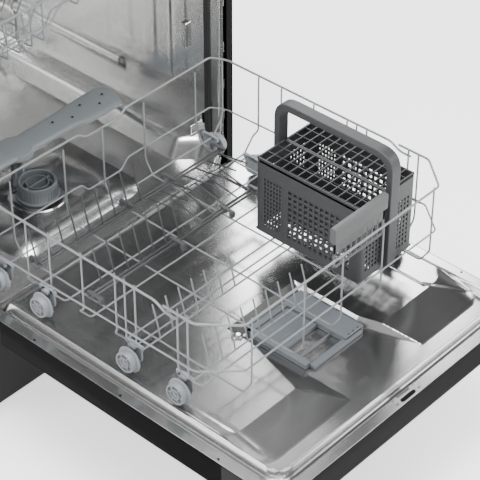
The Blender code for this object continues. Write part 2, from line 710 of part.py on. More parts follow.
def build_wheels(mat, parent):
    """Flanged rollers; each turns on its own axis along X."""
    profile = [(0, -0.0070), (0.0165, -0.0070), (0.0180, -0.0055), (0.0180, 0.0030), (WHEEL_R, 0.0040),
               (WHEEL_R, 0.0065), (0.0200, 0.0070), (0, 0.0070)]
    centre_z = TRACK_Z + 0.0005 + WHEEL_R
    for side_name, side in (("left", -1), ("right", 1)):
        for number, y in enumerate(WHEEL_Y, 1):
            centre = Vector((side * WHEEL_X, y, centre_z))
            bm = bmesh.new()
            revolve(bm, [(r, -side * h) for r, h in profile], centre, axis="X", segments=20)
            name = f"wheel_{side_name}_{number}"
            wheel = add(name, bm, mat["wheel"], origin=centre, parent=parent, smooth=True)
            hub = bmesh.new()
            outer, depth = sorted((centre.x + side * 0.009, centre.x + side * 0.001))
            block(hub, (outer, y - 0.0022, centre_z - 0.0022), (depth, y + 0.0022, centre_z + 0.0022))
            boolean(wheel, hub, "DIFFERENCE")


TINE_ROWS = (
    ("tines_rear_left", -0.011, -0.214, 9, UPRIGHT, (-0.220, 0.024)),
    ("tines_rear_right", -0.011, 0.032, 7, FOLDED_FORWARD, (0.027, 0.2235)),
    ("tines_front_left", -0.123, -0.181, 7, UPRIGHT, (-0.2125, -0.001)),
    ("tines_front_right", -0.123, 0.0465, 5, FOLDED_BACK, (0.0405, 0.1750)),
)
CLIP_HALF = 0.0030
SHAFT_Z = FLOOR_Z + WIRE_R + 0.0005 + 0.0025


def build_tines(mat, parent):
    for name, y, first_x, count, angle, ends in TINE_ROWS:
        reach = Vector((0, math.cos(angle), math.sin(angle))) * TINE_LENGTH
        start = reach.normalized() * 0.0005
        prongs = []
        for step in range(count):
            base = Vector((first_x + TINE_PITCH * step, y, SHAFT_Z))
            prongs.append(([base + start, base + reach], WIRE_R * 0.85))
        axis = (first_x, y, SHAFT_Z)
        row = add(name, tubes(*prongs), mat["tine"], origin=axis, parent=parent)
        shaft = [(end, y, SHAFT_Z) for end in ends]
        boolean(row, tubes((shaft, 0.0023)), "UNION")


def build_tine_mounts(mat, parent):
    """A fixed wire beside each pair of shafts, with clips that reach over the shafts."""
    for name, y, offset, clips in (
        ("tine_mount_rear", -0.011, 0.0072, (-0.2075, -0.0040, 0.0960, 0.2175)),
        ("tine_mount_front", -0.123, -0.0072, (-0.2065, -0.0215, 0.0950, 0.1690)),
    ):
        wire_y = y + offset
        bm = tubes(([(clips[0] - 0.004, wire_y, SHAFT_Z), (clips[-1] + 0.004, wire_y, SHAFT_Z)], 0.0022))
        mount = add(name, bm, mat["tine"], parent=parent)
        holders = bmesh.new()
        for x in clips:
            outline = clip_outline(wire_y, y - math.copysign(0.006, offset))
            prism(holders, outline, "X", x - CLIP_HALF, x + CLIP_HALF)
        boolean(mount, holders, "UNION")


def clip_outline(wire_y, far):
    """A clip seen along X: a foot round the fixed wire and an arm that bridges over the shaft."""
    out = math.copysign(1.0, wire_y - far)
    low, roof, top = SHAFT_Z - 0.0019, SHAFT_Z + 0.0030, SHAFT_Z + 0.0055
    return [(wire_y + 0.0038 * out, low), (wire_y + 0.0038 * out, top), (far, top), (far, roof),
            (wire_y - 0.0036 * out, roof), (wire_y - 0.0036 * out, low)]


# ---- cutlery basket -----------------------------------------------------------------------------
def basket_windows():
    """Window cutters through all four walls: rows and columns over each wall."""
    bm = bmesh.new()
    low, high = BASKET_LOW, BASKET_HIGH
    rows = ((low.z + 0.018, low.z + 0.052), (low.z + 0.062, low.z + 0.112))
    count_y, count_x = 6, 3
    for row_low, row_high in rows:
        for step in range(count_y):
            pitch = (high.y - low.y - 0.020) / count_y
            y = low.y + 0.010 + pitch * (step + 0.5)
            block(bm, (low.x - 0.01, y - pitch * 0.36, row_low), (high.x + 0.01, y + pitch * 0.36, row_high))
    ends = bmesh.new()
    for row_low, row_high in rows:
        for side in (-1, 1):
            for step in range(count_x):
                x = (low.x + high.x) / 2 + side * (0.024 + 0.0175 * step)
                block(ends, (x - 0.0062, low.y - 0.01, row_low), (x + 0.0062, high.y + 0.01, row_high))
    return bm, ends


def build_basket(mat, parent):
    low, high = BASKET_LOW, BASKET_HIGH
    wall = 0.0025
    centre_x = (low.x + high.x) / 2
    basket = add("cutlery_basket", blocks((low, high)), mat["basket"], origin=low, parent=parent)
    inside = bmesh.new()
    block(inside, (low.x + wall, low.y + wall, low.z + 0.003), (high.x - wall, high.y - wall, high.z + 0.01))
    boolean(basket, inside, "DIFFERENCE")
    for cutter in basket_windows():
        boolean(basket, cutter, "DIFFERENCE")

    handle = bmesh.new()
    outside = [(low.y - 0.012, low.z + 0.006), (low.y - 0.012, BASKET_HANDLE_Z - 0.022),
               (low.y - 0.004, BASKET_HANDLE_Z - 0.006), (low.y + 0.014, BASKET_HANDLE_Z),
               (high.y - 0.014, BASKET_HANDLE_Z), (high.y + 0.004, BASKET_HANDLE_Z - 0.006),
               (high.y + 0.012, BASKET_HANDLE_Z - 0.022), (high.y + 0.012, low.z + 0.006)]
    inner = [(high.y - 0.001, low.z + 0.006), (high.y - 0.001, BASKET_HANDLE_Z - 0.024),
             (high.y - 0.012, BASKET_HANDLE_Z - 0.013), (low.y + 0.012, BASKET_HANDLE_Z - 0.013),
             (low.y + 0.001, BASKET_HANDLE_Z - 0.024), (low.y + 0.001, low.z + 0.006)]
    prism(handle, [*outside, *inner], "X", centre_x - 0.011, centre_x + 0.011)
    boolean(basket, handle, "UNION")


def build_basket_lids(mat, parent):
    """Two grid lids, one on each side of the handle, each hinged along its outer edge."""
    low, high = BASKET_LOW, BASKET_HIGH
    bottom, top = high.z + GAP, high.z + 0.0030
    near, far = low.y + 0.003, high.y - 0.003
    centre = (low.x + high.x) / 2
    rows = 9
    pitch = (far - near - 0.006) / rows
    for name, left, right, hinge_x in (
        ("basket_lid_left", low.x + 0.001, centre - 0.0005, low.x + 0.001),
        ("basket_lid_right", centre + 0.0005, high.x - 0.001, high.x - 0.001),
    ):
        origin = (hinge_x, (near + far) / 2, bottom)
        lid = blocks(((left, near, bottom), (right, far, top)))
        lid = add(name, lid, mat["basket"], origin=origin, parent=parent)
        holes = bmesh.new()
        for step in range(rows):
            y = near + 0.003 + pitch * (step + 0.5)
            for column in range(3):
                start = left + 0.0030 + 0.0208 * column
                block(holes, (start, y - pitch / 2 + 0.001, bottom - 0.01),
                      (start + 0.0188, y + pitch / 2 - 0.001, top + 0.01))
        boolean(lid, holes, "DIFFERENCE")


def build_basket_plate(mat, parent):
    """Clip-on holder on the basket's front, with a thick grip along its top."""
    low, high = BASKET_LOW, BASKET_HIGH
    back, front = low.y - 0.0125, low.y - 0.0185
    left, right = low.x - 0.078, low.x + 0.034
    grip = add("basket_front_plate", blocks(((left, front, 0.418), (right, back, 0.476))), mat["plate"],
               origin=(left, back, 0.476), parent=parent)
    bar = blocks(((left - 0.0005, front - 0.006, 0.4700), (right + 0.0005, back - 0.0001, 0.4935)))
    boolean(grip, bar, "UNION")
    windows = bmesh.new()
    for step in range(6):
        x = left + 0.012 + 0.0165 * step
        block(windows, (x - 0.0055, front - 0.01, 0.424), (x + 0.0055, back + 0.01, 0.462))
    boolean(grip, windows, "DIFFERENCE")


# ---- upper rack ---------------------------------------------------------------------------------
def bay_z(x):
    return LOW_BAY_Z if x < BAY_STEP_X else HIGH_BAY_Z


def build_upper_rack(mat, parent):
    front, back = UPPER_FRONT_Y, UPPER_BACK_Y
    cross = []
    for y in (0.130, 0.200, 0.270, 0.340, 0.410, 0.480):
        cross.append(([(-UPPER_X, y, UPPER_RIM_Z), (-UPPER_X, y, LOW_BAY_Z),
                       (BAY_STEP_X - 0.012, y, LOW_BAY_Z), (BAY_STEP_X + 0.008, y, HIGH_BAY_Z),
                       (UPPER_X, y, HIGH_BAY_Z), (UPPER_X, y, UPPER_RIM_Z)],
                      WIRE_R))
    rack = add("upper_rack", tubes(*cross), mat["wire"], parent=parent)
    along = []
    for x in (-0.225, -0.175, -0.125, -0.075, 0.0, 0.056, 0.112, 0.168, 0.224):
        depth = bay_z(x) - 0.003
        along.append(([(x, front + 0.003, UPPER_RIM_Z), (x, front + 0.003, depth), (x, back - 0.003, depth),
                       (x, back - 0.003, UPPER_RIM_Z)], WIRE_R))
    boolean(rack, tubes(*along), "UNION")
    edge = UPPER_X + 0.003
    rim = bmesh.new()
    tube(rim, [(-edge, back, UPPER_RIM_Z), (-edge, front, UPPER_RIM_Z), (edge, front, UPPER_RIM_Z),
               (edge, back, UPPER_RIM_Z)], RIM_R)
    tube(rim, [(-edge, front, UPPER_LOW_RIM_Z), (BAY_STEP_X - 0.012, front, UPPER_LOW_RIM_Z),
               (BAY_STEP_X + 0.014, front, UPPER_LOW_RIM_Z + 0.027),
               (edge, front, UPPER_LOW_RIM_Z + 0.027)], RIM_R)
    boolean(rack, rim, "UNION")
    rear = bmesh.new()
    rear_y, rear_x = back + 0.0005, edge + 0.0005
    tube(rear, [(-rear_x, rear_y, UPPER_RIM_Z), (rear_x, rear_y, UPPER_RIM_Z)], RIM_R * 0.9)
    boolean(rack, rear, "UNION")
    runners = bmesh.new()
    for side in (-1, 1):
        low, high = sorted((side * 0.2510, side * 0.2710))
        block(runners, (low, front + 0.030, 0.6800), (high, back - 0.030, 0.6980))
    boolean(rack, runners, "UNION")
    hanger = blocks(((-0.012, UPPER_ARM_Y - 0.012, UPPER_ARM_Z + 0.0220),
                     (0.012, UPPER_ARM_Y + 0.012, HIGH_BAY_Z - 0.0025)))
    boolean(rack, hanger, "UNION")


# ---- whole machine ------------------------------------------------------------------------------
def build():
    clear_scene()
    mat = make_materials()
    build_tub(mat)
    build_casing(mat)
    build_gasket(mat)
    build_base(mat)
    build_hydraulics(mat)
    build_hinges(mat)
    build_rails(mat)
    build_filter(mat)
    build_spray_arm("lower_spray_arm", ARM, ARM_HALF, mat, [
        (0, -0.013), (0.020, -0.013), (0.030, -0.008), (0.030, 0.0082), (0, 0.0082)])

    door = pivot("door_pivot", HINGE)
    build_door_inner(mat, door)
    build_door_outer(mat, door)
    build_door_fittings(mat, door)

    rack = pivot("lower_rack_pivot", (0, 0, FLOOR_Z), door)
    build_rack_floor(mat, rack)
    build_rack_side("rack_left", -1, mat, rack)
    build_rack_side("rack_right", 1, mat, rack)
    build_rack_front(mat, rack)
    build_rack_rear(mat, rack)
    build_wheels(mat, rack)
    build_tines(mat, rack)
    build_tine_mounts(mat, rack)
    basket = pivot("basket_pivot", BASKET_LOW, rack)
    build_basket(mat, basket)
    build_basket_lids(mat, basket)
    build_basket_plate(mat, basket)

    upper = pivot("upper_rack_pivot", (0, 0, UPPER_RIM_Z))
    build_upper_rack(mat, upper)
    upper_arm = Vector((0.0, UPPER_ARM_Y, UPPER_ARM_Z))
    build_spray_arm("upper_spray_arm", upper_arm, 0.200, mat, [
        (0, -0.010), (0.024, -0.010), (0.028, -0.006), (0.028, 0.008), (0.014, 0.012),
        (0.014, 0.0215), (0, 0.0215)])


build()
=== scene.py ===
"""Looks for the built-in dishwasher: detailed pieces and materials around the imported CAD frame."""

import json
from math import atan2, copysign, cos, hypot, pi, radians, sin

import bmesh
import bpy
from mathutils import Matrix, Vector


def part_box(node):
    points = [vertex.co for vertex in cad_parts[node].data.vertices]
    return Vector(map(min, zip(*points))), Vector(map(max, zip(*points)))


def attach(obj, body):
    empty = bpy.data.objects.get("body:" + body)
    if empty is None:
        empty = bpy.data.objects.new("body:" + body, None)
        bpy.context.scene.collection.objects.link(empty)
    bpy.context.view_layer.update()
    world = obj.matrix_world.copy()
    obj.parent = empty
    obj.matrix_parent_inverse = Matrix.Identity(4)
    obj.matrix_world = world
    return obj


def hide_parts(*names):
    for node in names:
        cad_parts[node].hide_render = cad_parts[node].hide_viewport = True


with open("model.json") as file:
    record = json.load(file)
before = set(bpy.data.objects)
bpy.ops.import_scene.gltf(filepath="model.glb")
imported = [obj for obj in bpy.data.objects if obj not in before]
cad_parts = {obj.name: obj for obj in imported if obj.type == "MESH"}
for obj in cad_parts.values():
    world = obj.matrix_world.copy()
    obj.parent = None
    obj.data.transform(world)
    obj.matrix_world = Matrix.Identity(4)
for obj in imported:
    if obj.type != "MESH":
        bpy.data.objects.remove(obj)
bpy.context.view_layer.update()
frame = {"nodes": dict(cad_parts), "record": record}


# ---- places taken from the frame ----
TUB_LOW, TUB_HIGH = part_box("tub")
DOOR_LOW, DOOR_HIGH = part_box("door_inner")
SKIN_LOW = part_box("door_outer")[0]
BASKET_LOW, BASKET_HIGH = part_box("cutlery_basket")
ARM_LOW, ARM_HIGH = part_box("lower_spray_arm")
UPPER_ARM_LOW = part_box("upper_spray_arm")[0]
CUP_LOW, CUP_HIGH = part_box("filter_cylinder")
DISPENSER_LOW, DISPENSER_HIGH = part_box("dispenser_body")
RACK_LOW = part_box("rack_front")[0]
REAR_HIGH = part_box("rack_rear")[1]

# The open door: its half width, its free edge, its flange's height and how far its middle is pressed up.
HALF_DOOR = DOOR_HIGH.x
FREE_Y = DOOR_LOW.y
DOOR_Z = 0.265
FIELD = 0.0115
# The tub's inside.
TUB_X = 0.282
TUB_FLOOR = 0.23
TUB_TOP = 0.828
FRONT_Y = TUB_LOW.y + 0.0015
BACK_Y = TUB_HIGH.y - 0.0015
# The lower rack: heights of its rim, middle wire, floor and tine shafts, its ends, and the wires' radii.
RIM_Z = 0.471
MID_Z = 0.373
FLOOR_Z = 0.323
SHAFT_Z = FLOOR_Z + 0.0048
RACK_FRONT_Y = RACK_LOW.y + 0.0025
RACK_REAR_Y = REAR_HIGH.y - 0.0025
RIM_R = 0.0019
WIRE_R = 0.0015


# ---- materials ----
def noise(tree, place, scale, detail):
    """The value of a noise texture read at the given coordinates."""
    made = tree.nodes.new("ShaderNodeTexNoise")
    made.inputs["Scale"].default_value = scale
    made.inputs["Detail"].default_value = detail
    tree.links.new(place, made.inputs["Vector"])
    return made.outputs["Fac"]


def bumped(tree, height, strength, distance, normal=None):
    """The normal after a bump, on top of an earlier bump if one is given."""
    made = tree.nodes.new("ShaderNodeBump")
    made.inputs["Strength"].default_value = strength
    made.inputs["Distance"].default_value = distance
    tree.links.new(height, made.inputs["Height"])
    if normal:
        tree.links.new(normal, made.inputs["Normal"])
    return made.outputs["Normal"]


def mix_node(tree, factor):
    made = tree.nodes.new("ShaderNodeMix")
    made.data_type = "RGBA"
    tree.links.new(factor, made.inputs[0])
    return made


def surface(name, colour, rough, metallic=0.0, spread=0.1, rough_spread=0.08, scale=260.0,
            stretch=(1, 1, 1), bump=0.08, wave=0.0, wave_scale=7.0, coat=0.0, specular=0.5):
    """A Principled material with grain in its colour, roughness and bump, and a slow waviness if asked."""
    made = bpy.data.materials.new(name)
    made.use_nodes = True
    tree = made.node_tree
    nodes, links = tree.nodes, tree.links
    shader = nodes["Principled BSDF"]
    shader.inputs["Metallic"].default_value = metallic
    shader.inputs["Coat Weight"].default_value = coat
    shader.inputs["Specular IOR Level"].default_value = specular
    place = nodes.new("ShaderNodeTexCoord").outputs["Object"]
    mapping = nodes.new("ShaderNodeMapping")
    mapping.inputs["Scale"].default_value = stretch
    links.new(place, mapping.inputs["Vector"])
    grain = noise(tree, mapping.outputs["Vector"], scale, 4.0)
    cloud = noise(tree, place, 9.0, 3.0)
    half = nodes.new("ShaderNodeMath")
    half.operation = "MULTIPLY"
    half.inputs[1].default_value = 0.5
    links.new(cloud, half.inputs[0])
    mixed = nodes.new("ShaderNodeMath")
    mixed.operation = "MULTIPLY_ADD"
    mixed.inputs[1].default_value = 0.5
    links.new(grain, mixed.inputs[0])
    links.new(half.outputs[0], mixed.inputs[2])
    tint = mix_node(tree, mixed.outputs[0])
    tint.inputs[6].default_value = (*[c * (1 - spread) for c in colour], 1)
    tint.inputs[7].default_value = (*[min(c * (1 + spread), 1) for c in colour], 1)
    links.new(tint.outputs[2], shader.inputs["Base Color"])
    gloss = nodes.new("ShaderNodeMapRange")
    gloss.inputs["To Min"].default_value = max(rough - rough_spread, 0.02)
    gloss.inputs["To Max"].default_value = rough + rough_spread
    links.new(mixed.outputs[0], gloss.inputs["Value"])
    links.new(gloss.outputs["Result"], shader.inputs["Roughness"])
    normal = bumped(tree, grain, bump, 0.0004)
    if wave:
        normal = bumped(tree, noise(tree, place, wave_scale, 1.0), wave, 0.01, normal)
    links.new(normal, shader.inputs["Normal"])
    return made


STEEL = surface("polished_steel", (0.5, 0.5, 0.497), 0.21, metallic=1.0, spread=0.04, rough_spread=0.05,
    scale=500, stretch=(0.03, 1, 1), bump=0.012, wave=0.16, wave_scale=5.0)
TUB_STEEL = surface("tub_steel", (0.74, 0.74, 0.735), 0.24, metallic=1.0, spread=0.04, rough_spread=0.05,
    scale=400, stretch=(1, 0.03, 1), bump=0.01, wave=0.22, wave_scale=3.2)
BRIGHT = surface("bright_steel", (0.72, 0.72, 0.71), 0.12, metallic=1.0, spread=0.04, rough_spread=0.04,
    scale=700, bump=0.02)
WIRE = surface("coated_wire", (0.135, 0.146, 0.153), 0.34, rough_spread=0.07, scale=500, bump=0.05,
    coat=0.25)
TINE = surface("tine_wire", (0.032, 0.034, 0.036), 0.38, spread=0.12, rough_spread=0.07, scale=500,
    bump=0.05)
CLIP = surface("clip_plastic", (0.045, 0.047, 0.05), 0.45, spread=0.15, scale=420, bump=0.1)
WHEEL = surface("wheel_plastic", (0.165, 0.18, 0.19), 0.48, spread=0.08, rough_spread=0.07, scale=380)
ARM = surface("arm_plastic", (0.155, 0.172, 0.182), 0.42, spread=0.08, rough_spread=0.06, scale=380)
BASKET = surface("basket_plastic", (0.024, 0.025, 0.027), 0.5, spread=0.14, rough_spread=0.07, scale=420,
    bump=0.12)
PLATE = surface("basket_plate", (0.06, 0.061, 0.063), 0.5, spread=0.08, rough_spread=0.06, scale=420,
    bump=0.1)
FILTER = surface("filter_plastic", (0.07, 0.078, 0.084), 0.42, spread=0.12, rough_spread=0.07, scale=380)
DISPENSER = surface("dispenser_plastic", (0.088, 0.098, 0.108), 0.4, spread=0.06, rough_spread=0.06,
    scale=420, bump=0.06)
BLACK = surface("black_enamel", (0.003, 0.003, 0.003), 0.55, spread=0.2, scale=500, bump=0.06,
    specular=0.04)
CONSOLE = surface("console_black", (0.004, 0.004, 0.0045), 0.38, spread=0.2, rough_spread=0.06, scale=500,
    bump=0.04, specular=0.08)
RUBBER = surface("seal_rubber", (0.014, 0.014, 0.014), 0.7, spread=0.2, rough_spread=0.1, scale=300,
    bump=0.25)
BASE = surface("base_plastic", (0.01, 0.01, 0.011), 0.6, spread=0.18, scale=320, bump=0.15, specular=0.2)
GALVANISED = surface("galvanised", (0.46, 0.47, 0.48), 0.42, metallic=1.0, spread=0.16, rough_spread=0.12,
    scale=60, bump=0.1)
IRON = surface("cast_iron", (0.1, 0.1, 0.105), 0.65, metallic=0.6, spread=0.2, rough_spread=0.1,
    scale=160, bump=0.5)
MOTOR = surface("motor_housing", (0.16, 0.16, 0.17), 0.45, metallic=1.0, spread=0.12, rough_spread=0.1,
    scale=300, bump=0.2)
DARK = surface("deep_shadow", (0.004, 0.004, 0.004), 0.85, spread=0.2, rough_spread=0.05, scale=300,
    bump=0.1, specular=0.1)


# ---- piece helpers ----
def linked(name, data):
    """A new object with this data, in the scene."""
    made = bpy.data.objects.new(name, data)
    bpy.context.scene.collection.objects.link(made)
    return made


def mesh_object(name, bm, sharp=None):
    """An object made of the bmesh, smooth shaded, with creases where faces meet more sharply than sharp."""
    mesh = bpy.data.meshes.new(name)
    bm.to_mesh(mesh)
    bm.free()
    mesh.shade_smooth()
    if sharp:
        mesh.set_sharp_from_angle(angle=radians(sharp))
    return linked(name, mesh)


def solidify(made, thickness):
    skin = made.modifiers.new("metal", "SOLIDIFY")
    skin.thickness = thickness
    skin.offset = -1.0


def finish_piece(made, mat, body, nodes=()):
    """Gives the piece its material and body, and hides the CAD nodes that it replaces."""
    made.data.materials.append(mat)
    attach(made, body)
    if nodes:
        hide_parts(*nodes)
    return made


def from_bmesh(name, bm, mat, body, nodes=(), sharp=40, bevel=0.0, segments=2):
    """One piece from a bmesh in the frame's coordinates, with its edges bevelled if asked."""
    bmesh.ops.recalc_face_normals(bm, faces=bm.faces)
    made = mesh_object(name, bm, sharp)
    if bevel:
        step = made.modifiers.new("edges", "BEVEL")
        step.width = bevel
        step.segments = segments
        step.limit_method = "ANGLE"
        step.angle_limit = radians(35)
        step.harden_normals = True
    return finish_piece(made, mat, body, nodes)


def box(bm, low, high):
    """Adds a box between two corners."""
    low, high = Vector(low), Vector(high)
    place = Matrix.Translation((low + high) / 2) @ Matrix.Diagonal((*(high - low), 1.0))
    bmesh.ops.create_cube(bm, size=1.0, matrix=place)
    return bm


def boxes(*pairs):
    bm = bmesh.new()
    for low, high in pairs:
        box(bm, low, high)
    return bm


def prism(bm, outline, axis, start, end):
    """Adds a flat outline drawn out along an axis."""
    place = {
        "X": lambda u, v, w: (w, u, v),
        "Y": lambda u, v, w: (u, w, v),
        "Z": lambda u, v, w: (u, v, w),
    }[axis]
    first = [bm.verts.new(place(u, v, start)) for u, v in outline]
    last = [bm.verts.new(place(u, v, end)) for u, v in outline]
    bm.faces.new(first)
    bm.faces.new(reversed(last))
    bridge(bm, first, last)
    return bm


def lathe(bm, profile, centre, axis="Z", segments=48):
    """Revolves (radius, height) points; a profile that ends where it starts makes a ring."""
    centre = Vector(centre)
    turn = {
        "Z": lambda r, h, a: Vector((r * cos(a), r * sin(a), h)),
        "X": lambda r, h, a: Vector((h, r * cos(a), r * sin(a))),
        "Y": lambda r, h, a: Vector((r * cos(a), h, r * sin(a))),
    }[axis]
    ring = profile[0] == profile[-1]
    points = profile[:-1] if ring else profile
    rings = []
    for radius, height in points:
        count = 1 if radius == 0 else segments
        turned = [turn(radius, height, 2 * pi * k / segments) for k in range(count)]
        rings.append([bm.verts.new(centre + point) for point in turned])
    pairs = list(zip(rings, rings[1:]))
    if ring:
        pairs.append((rings[-1], rings[0]))
    for low, high in pairs:
        for k in range(segments):
            n = (k + 1) % segments
            corners = [low[k % len(low)], low[n % len(low)], high[n % len(high)], high[k % len(high)]]
            unique = list(dict.fromkeys(corners))
            if len(unique) > 2:
                bm.faces.new(unique)
    return bm


def rounded(width, height, radius, steps=6):
    """The outline of a rectangle round the origin, with round corners."""
    points = []
    for corner in range(4):
        sign_u = 1 if corner in (0, 3) else -1
        sign_v = 1 if corner in (0, 1) else -1
        for step in range(steps + 1):
            angle = (corner + step / steps) * pi / 2
            points.append((sign_u * (width / 2 - radius) + radius * cos(angle),
                           sign_v * (height / 2 - radius) + radius * sin(angle)))
    return points


def slab(bm, low, high):
    """Adds a box between two corners of which x may be given in either order, as on mirrored sides."""
    near, far = sorted((low[0], high[0]))
    return box(bm, (near, *low[1:]), (far, *high[1:]))


def bridge(bm, first, second):
    """Faces between two closed loops of vertices."""
    count = len(first)
    for k in range(count):
        n = (k + 1) % count
        bm.faces.new((first[k], first[n], second[n], second[k]))


def disc(bm, centre, radius, start, end, axis="Z", segments=16):
    return lathe(bm, [(0, start), (radius, start), (radius, end), (0, end)], centre, axis, segments)


def add_turned(bm, low, high, centre, angle, axis):
    """Adds a box given round the origin, turned about an axis through centre."""
    start = len(bm.verts)
    box(bm, low, high)
    bm.verts.ensure_lookup_table()
    place = Matrix.Translation(centre) @ Matrix.Rotation(angle, 4, axis)
    bmesh.ops.transform(bm, matrix=place, verts=bm.verts[start:])


def shifted(outline, u, v):
    return [(a + u, b + v) for a, b in outline]


def bent(points, bend=0.007, steps=5):
    """The same path with its corners rounded."""
    points = [Vector(p) for p in points]
    path = [points[0]]
    for before, corner, after in zip(points, points[1:], points[2:]):
        into, out = before - corner, after - corner
        cut = min(bend, 0.45 * into.length, 0.45 * out.length)
        start, end = corner + into.normalized() * cut, corner + out.normalized() * cut
        for step in range(steps + 1):
            t = step / steps
            path.append(start * (1 - t) ** 2 + corner * 2 * t * (1 - t) + end * t * t)
    path.append(points[-1])
    return path


def wires(name, runs, mat, body, nodes=()):
    """Round wires as one curve piece: runs are (points, radius, bend) with domed ends."""
    curve = bpy.data.curves.new(name, "CURVE")
    curve.dimensions = "3D"
    curve.bevel_depth = 1.0
    curve.bevel_resolution = 3
    curve.use_fill_caps = True
    for points, radius, bend in runs:
        path = bent(points, bend)
        first = (path[1] - path[0]).normalized() * radius * 0.6
        last = (path[-2] - path[-1]).normalized() * radius * 0.6
        full = [path[0], path[0] + first * 0.5, path[0] + first, *path[1:-1]]
        full += [path[-1] + last, path[-1] + last * 0.5, path[-1]]
        sizes = [0.55, 0.88, 1.0, *[1.0] * (len(path) - 2), 1.0, 0.88, 0.55]
        spline = curve.splines.new("POLY")
        spline.points.add(len(full) - 1)
        for point, place, size in zip(spline.points, full, sizes):
            point.co = (*place, 1.0)
            point.radius = radius * size
    return finish_piece(linked(name, curve), mat, body, nodes)


def mirrored(points):
    return [(-x, y, z) for x, y, z in points]


def both_sides(points):
    return [*points, *reversed(mirrored(points))]


def ramp(value, low, high):
    """0 below low, 1 above high, smooth between."""
    t = min(max((value - low) / (high - low), 0.0), 1.0)
    return t * t * (3 - 2 * t)


def line(value, low, high):
    """0 below low, 1 above high, straight between."""
    return min(max((value - low) / (high - low), 0.0), 1.0)


def sheet_grid(name, columns, rows, place, mat, body, nodes=(), thickness=0.0008, sharp=30):
    """A pressed sheet: place(u, v) gives each point of the grid, and Solidify gives the thickness."""
    bm = bmesh.new()
    grid = [[bm.verts.new(place(u, v)) for u in columns] for v in rows]
    for lower, upper in zip(grid, grid[1:]):
        for a, b, c, d in zip(lower, lower[1:], upper[1:], upper):
            bm.faces.new((a, b, c, d))
    made = mesh_object(name, bm, sharp)
    solidify(made, thickness)
    return finish_piece(made, mat, body, nodes)


def spread(*stops):
    """Grid lines from (place, step) stops: each stretch uses the step of its first stop."""
    lines = []
    for (start, step), (end, _) in zip(stops, stops[1:]):
        count = max(int(round((end - start) / step)), 1)
        lines += [start + (end - start) * k / count for k in range(count)]
    return [*lines, stops[-1][0]]


# ---- door ----
LIP_CORNER = 0.03
TROUGH = (-0.067, 0.085)
CREASE_Y = FREE_Y + 0.136
BAND_Y = FREE_Y + 0.064


def edge_distance(x, y):
    """Distance in from the door's two sides and its free edge, round the corners too."""
    side = HALF_DOOR - abs(x)
    end = y - FREE_Y
    if side < LIP_CORNER * 2 and end < LIP_CORNER * 2:
        return LIP_CORNER * 2 - hypot(LIP_CORNER * 2 - side, LIP_CORNER * 2 - end)
    return min(side, end)


def pressed(x, y):
    """Height of the door's pressed middle above its flange."""
    bow = 0.02 * (1 - ramp(HALF_DOOR - abs(x), 0.032, 0.075)) ** 2
    front = line(y - bow, BAND_Y, CREASE_Y)
    outer = -0.111 + 0.031 * line(y, CREASE_Y, FREE_Y + 0.252)
    left = line(-x, -(TROUGH[0] + 0.002), -outer)
    right_edge = TROUGH[1] + 0.3 * max(CREASE_Y - y, -0.04)
    right = line(x, right_edge, right_edge + 0.009)
    behind = line(y, DISPENSER_HIGH.y + 0.002, DISPENSER_HIGH.y + 0.022)
    rise = min(front, max(left, right, behind))
    height = FIELD * rise
    if x > 0.19:
        slant = y + 1.25 * (x - 0.215)
        height += 0.0016 * ramp(x, 0.2135, 0.215) * ramp(slant, CREASE_Y + 0.004, CREASE_Y + 0.01)
        groove = 1 - min(abs(x - 0.2125) / 0.0022, 1.0)
        height -= 0.0022 * groove * ramp(y, CREASE_Y + 0.005, CREASE_Y + 0.012)
    fold = 1 - min(abs(x + 0.242) / 0.003, 1.0)
    height -= 0.001 * fold * ramp(y, BAND_Y + 0.02, BAND_Y + 0.035) * (1 - ramp(y, CREASE_Y, CREASE_Y + 0.12))
    return height


def follow_creases(u, y):
    """Slides the grid's lines sideways, so that they run along the slanting creases."""
    right = max(CREASE_Y - y, -0.04) * 0.3 * line(u, 0.05, 0.08) * (1 - line(u, 0.102, 0.19))
    left = 0.031 * line(y, CREASE_Y, FREE_Y + 0.252) * line(u, -0.215, -0.114) * (1 - line(u, -0.108, -0.07))
    return u + right + left


def door_sheet_place(u, y):
    x = follow_creases(u, y)
    inset = edge_distance(x, y)
    if inset < 0.0275:
        height = -0.004 * ramp(inset, 0.0195, 0.0225)
    elif inset < 0.032:
        height = -0.004 + 0.0178 * ramp(inset, 0.0275, 0.0315)
    else:
        inside = pressed(x, y)
        height = 0.0138 + (inside - 0.0138) * ramp(inset, 0.0325, 0.0385)
    tail = ramp(y, -0.004, 0.0335)
    height = height * (1 - tail) - 0.019 * tail ** 1.5
    return Vector((x, y, DOOR_Z + height))


def build_door():
    edge = HALF_DOOR - 0.001
    side = [(0.0, 0.0008), (0.019, 0.0008), (0.0395, 0.003), (0.055, 0.003), (0.06, 0.004)]
    left = [(-edge + a, s) for a, s in side]
    middle = [(-0.114, 0.0015), (-0.108, 0.003), (-0.07, 0.001), (-0.064, 0.004), (0.083, 0.001),
              (0.096, 0.004), (0.21, 0.0008), (0.216, 0.003)]
    right = [(edge - 0.0615, 0.003), (edge - 0.0395, 0.0008), (edge - 0.019, 0.0008), (edge, 1)]
    free_end = [(0.001, 0.0008), (0.04, 0.003), (0.06, 0.002), (0.068, 0.0035), (0.131, 0.001),
                (0.141, 0.005)]
    rows = spread(*[(FREE_Y + y, s) for y, s in free_end], (DISPENSER_HIGH.y, 0.002),
                  (DISPENSER_HIGH.y + 0.024, 0.006), (-0.01, 0.002), (0.0335, 1))
    sheet_grid("door_inner_sheet", spread(*left, *middle, *right), rows, door_sheet_place, STEEL, "door",
               ["door_inner"], 0.001, 25)
    build_door_rim()
    build_latch()


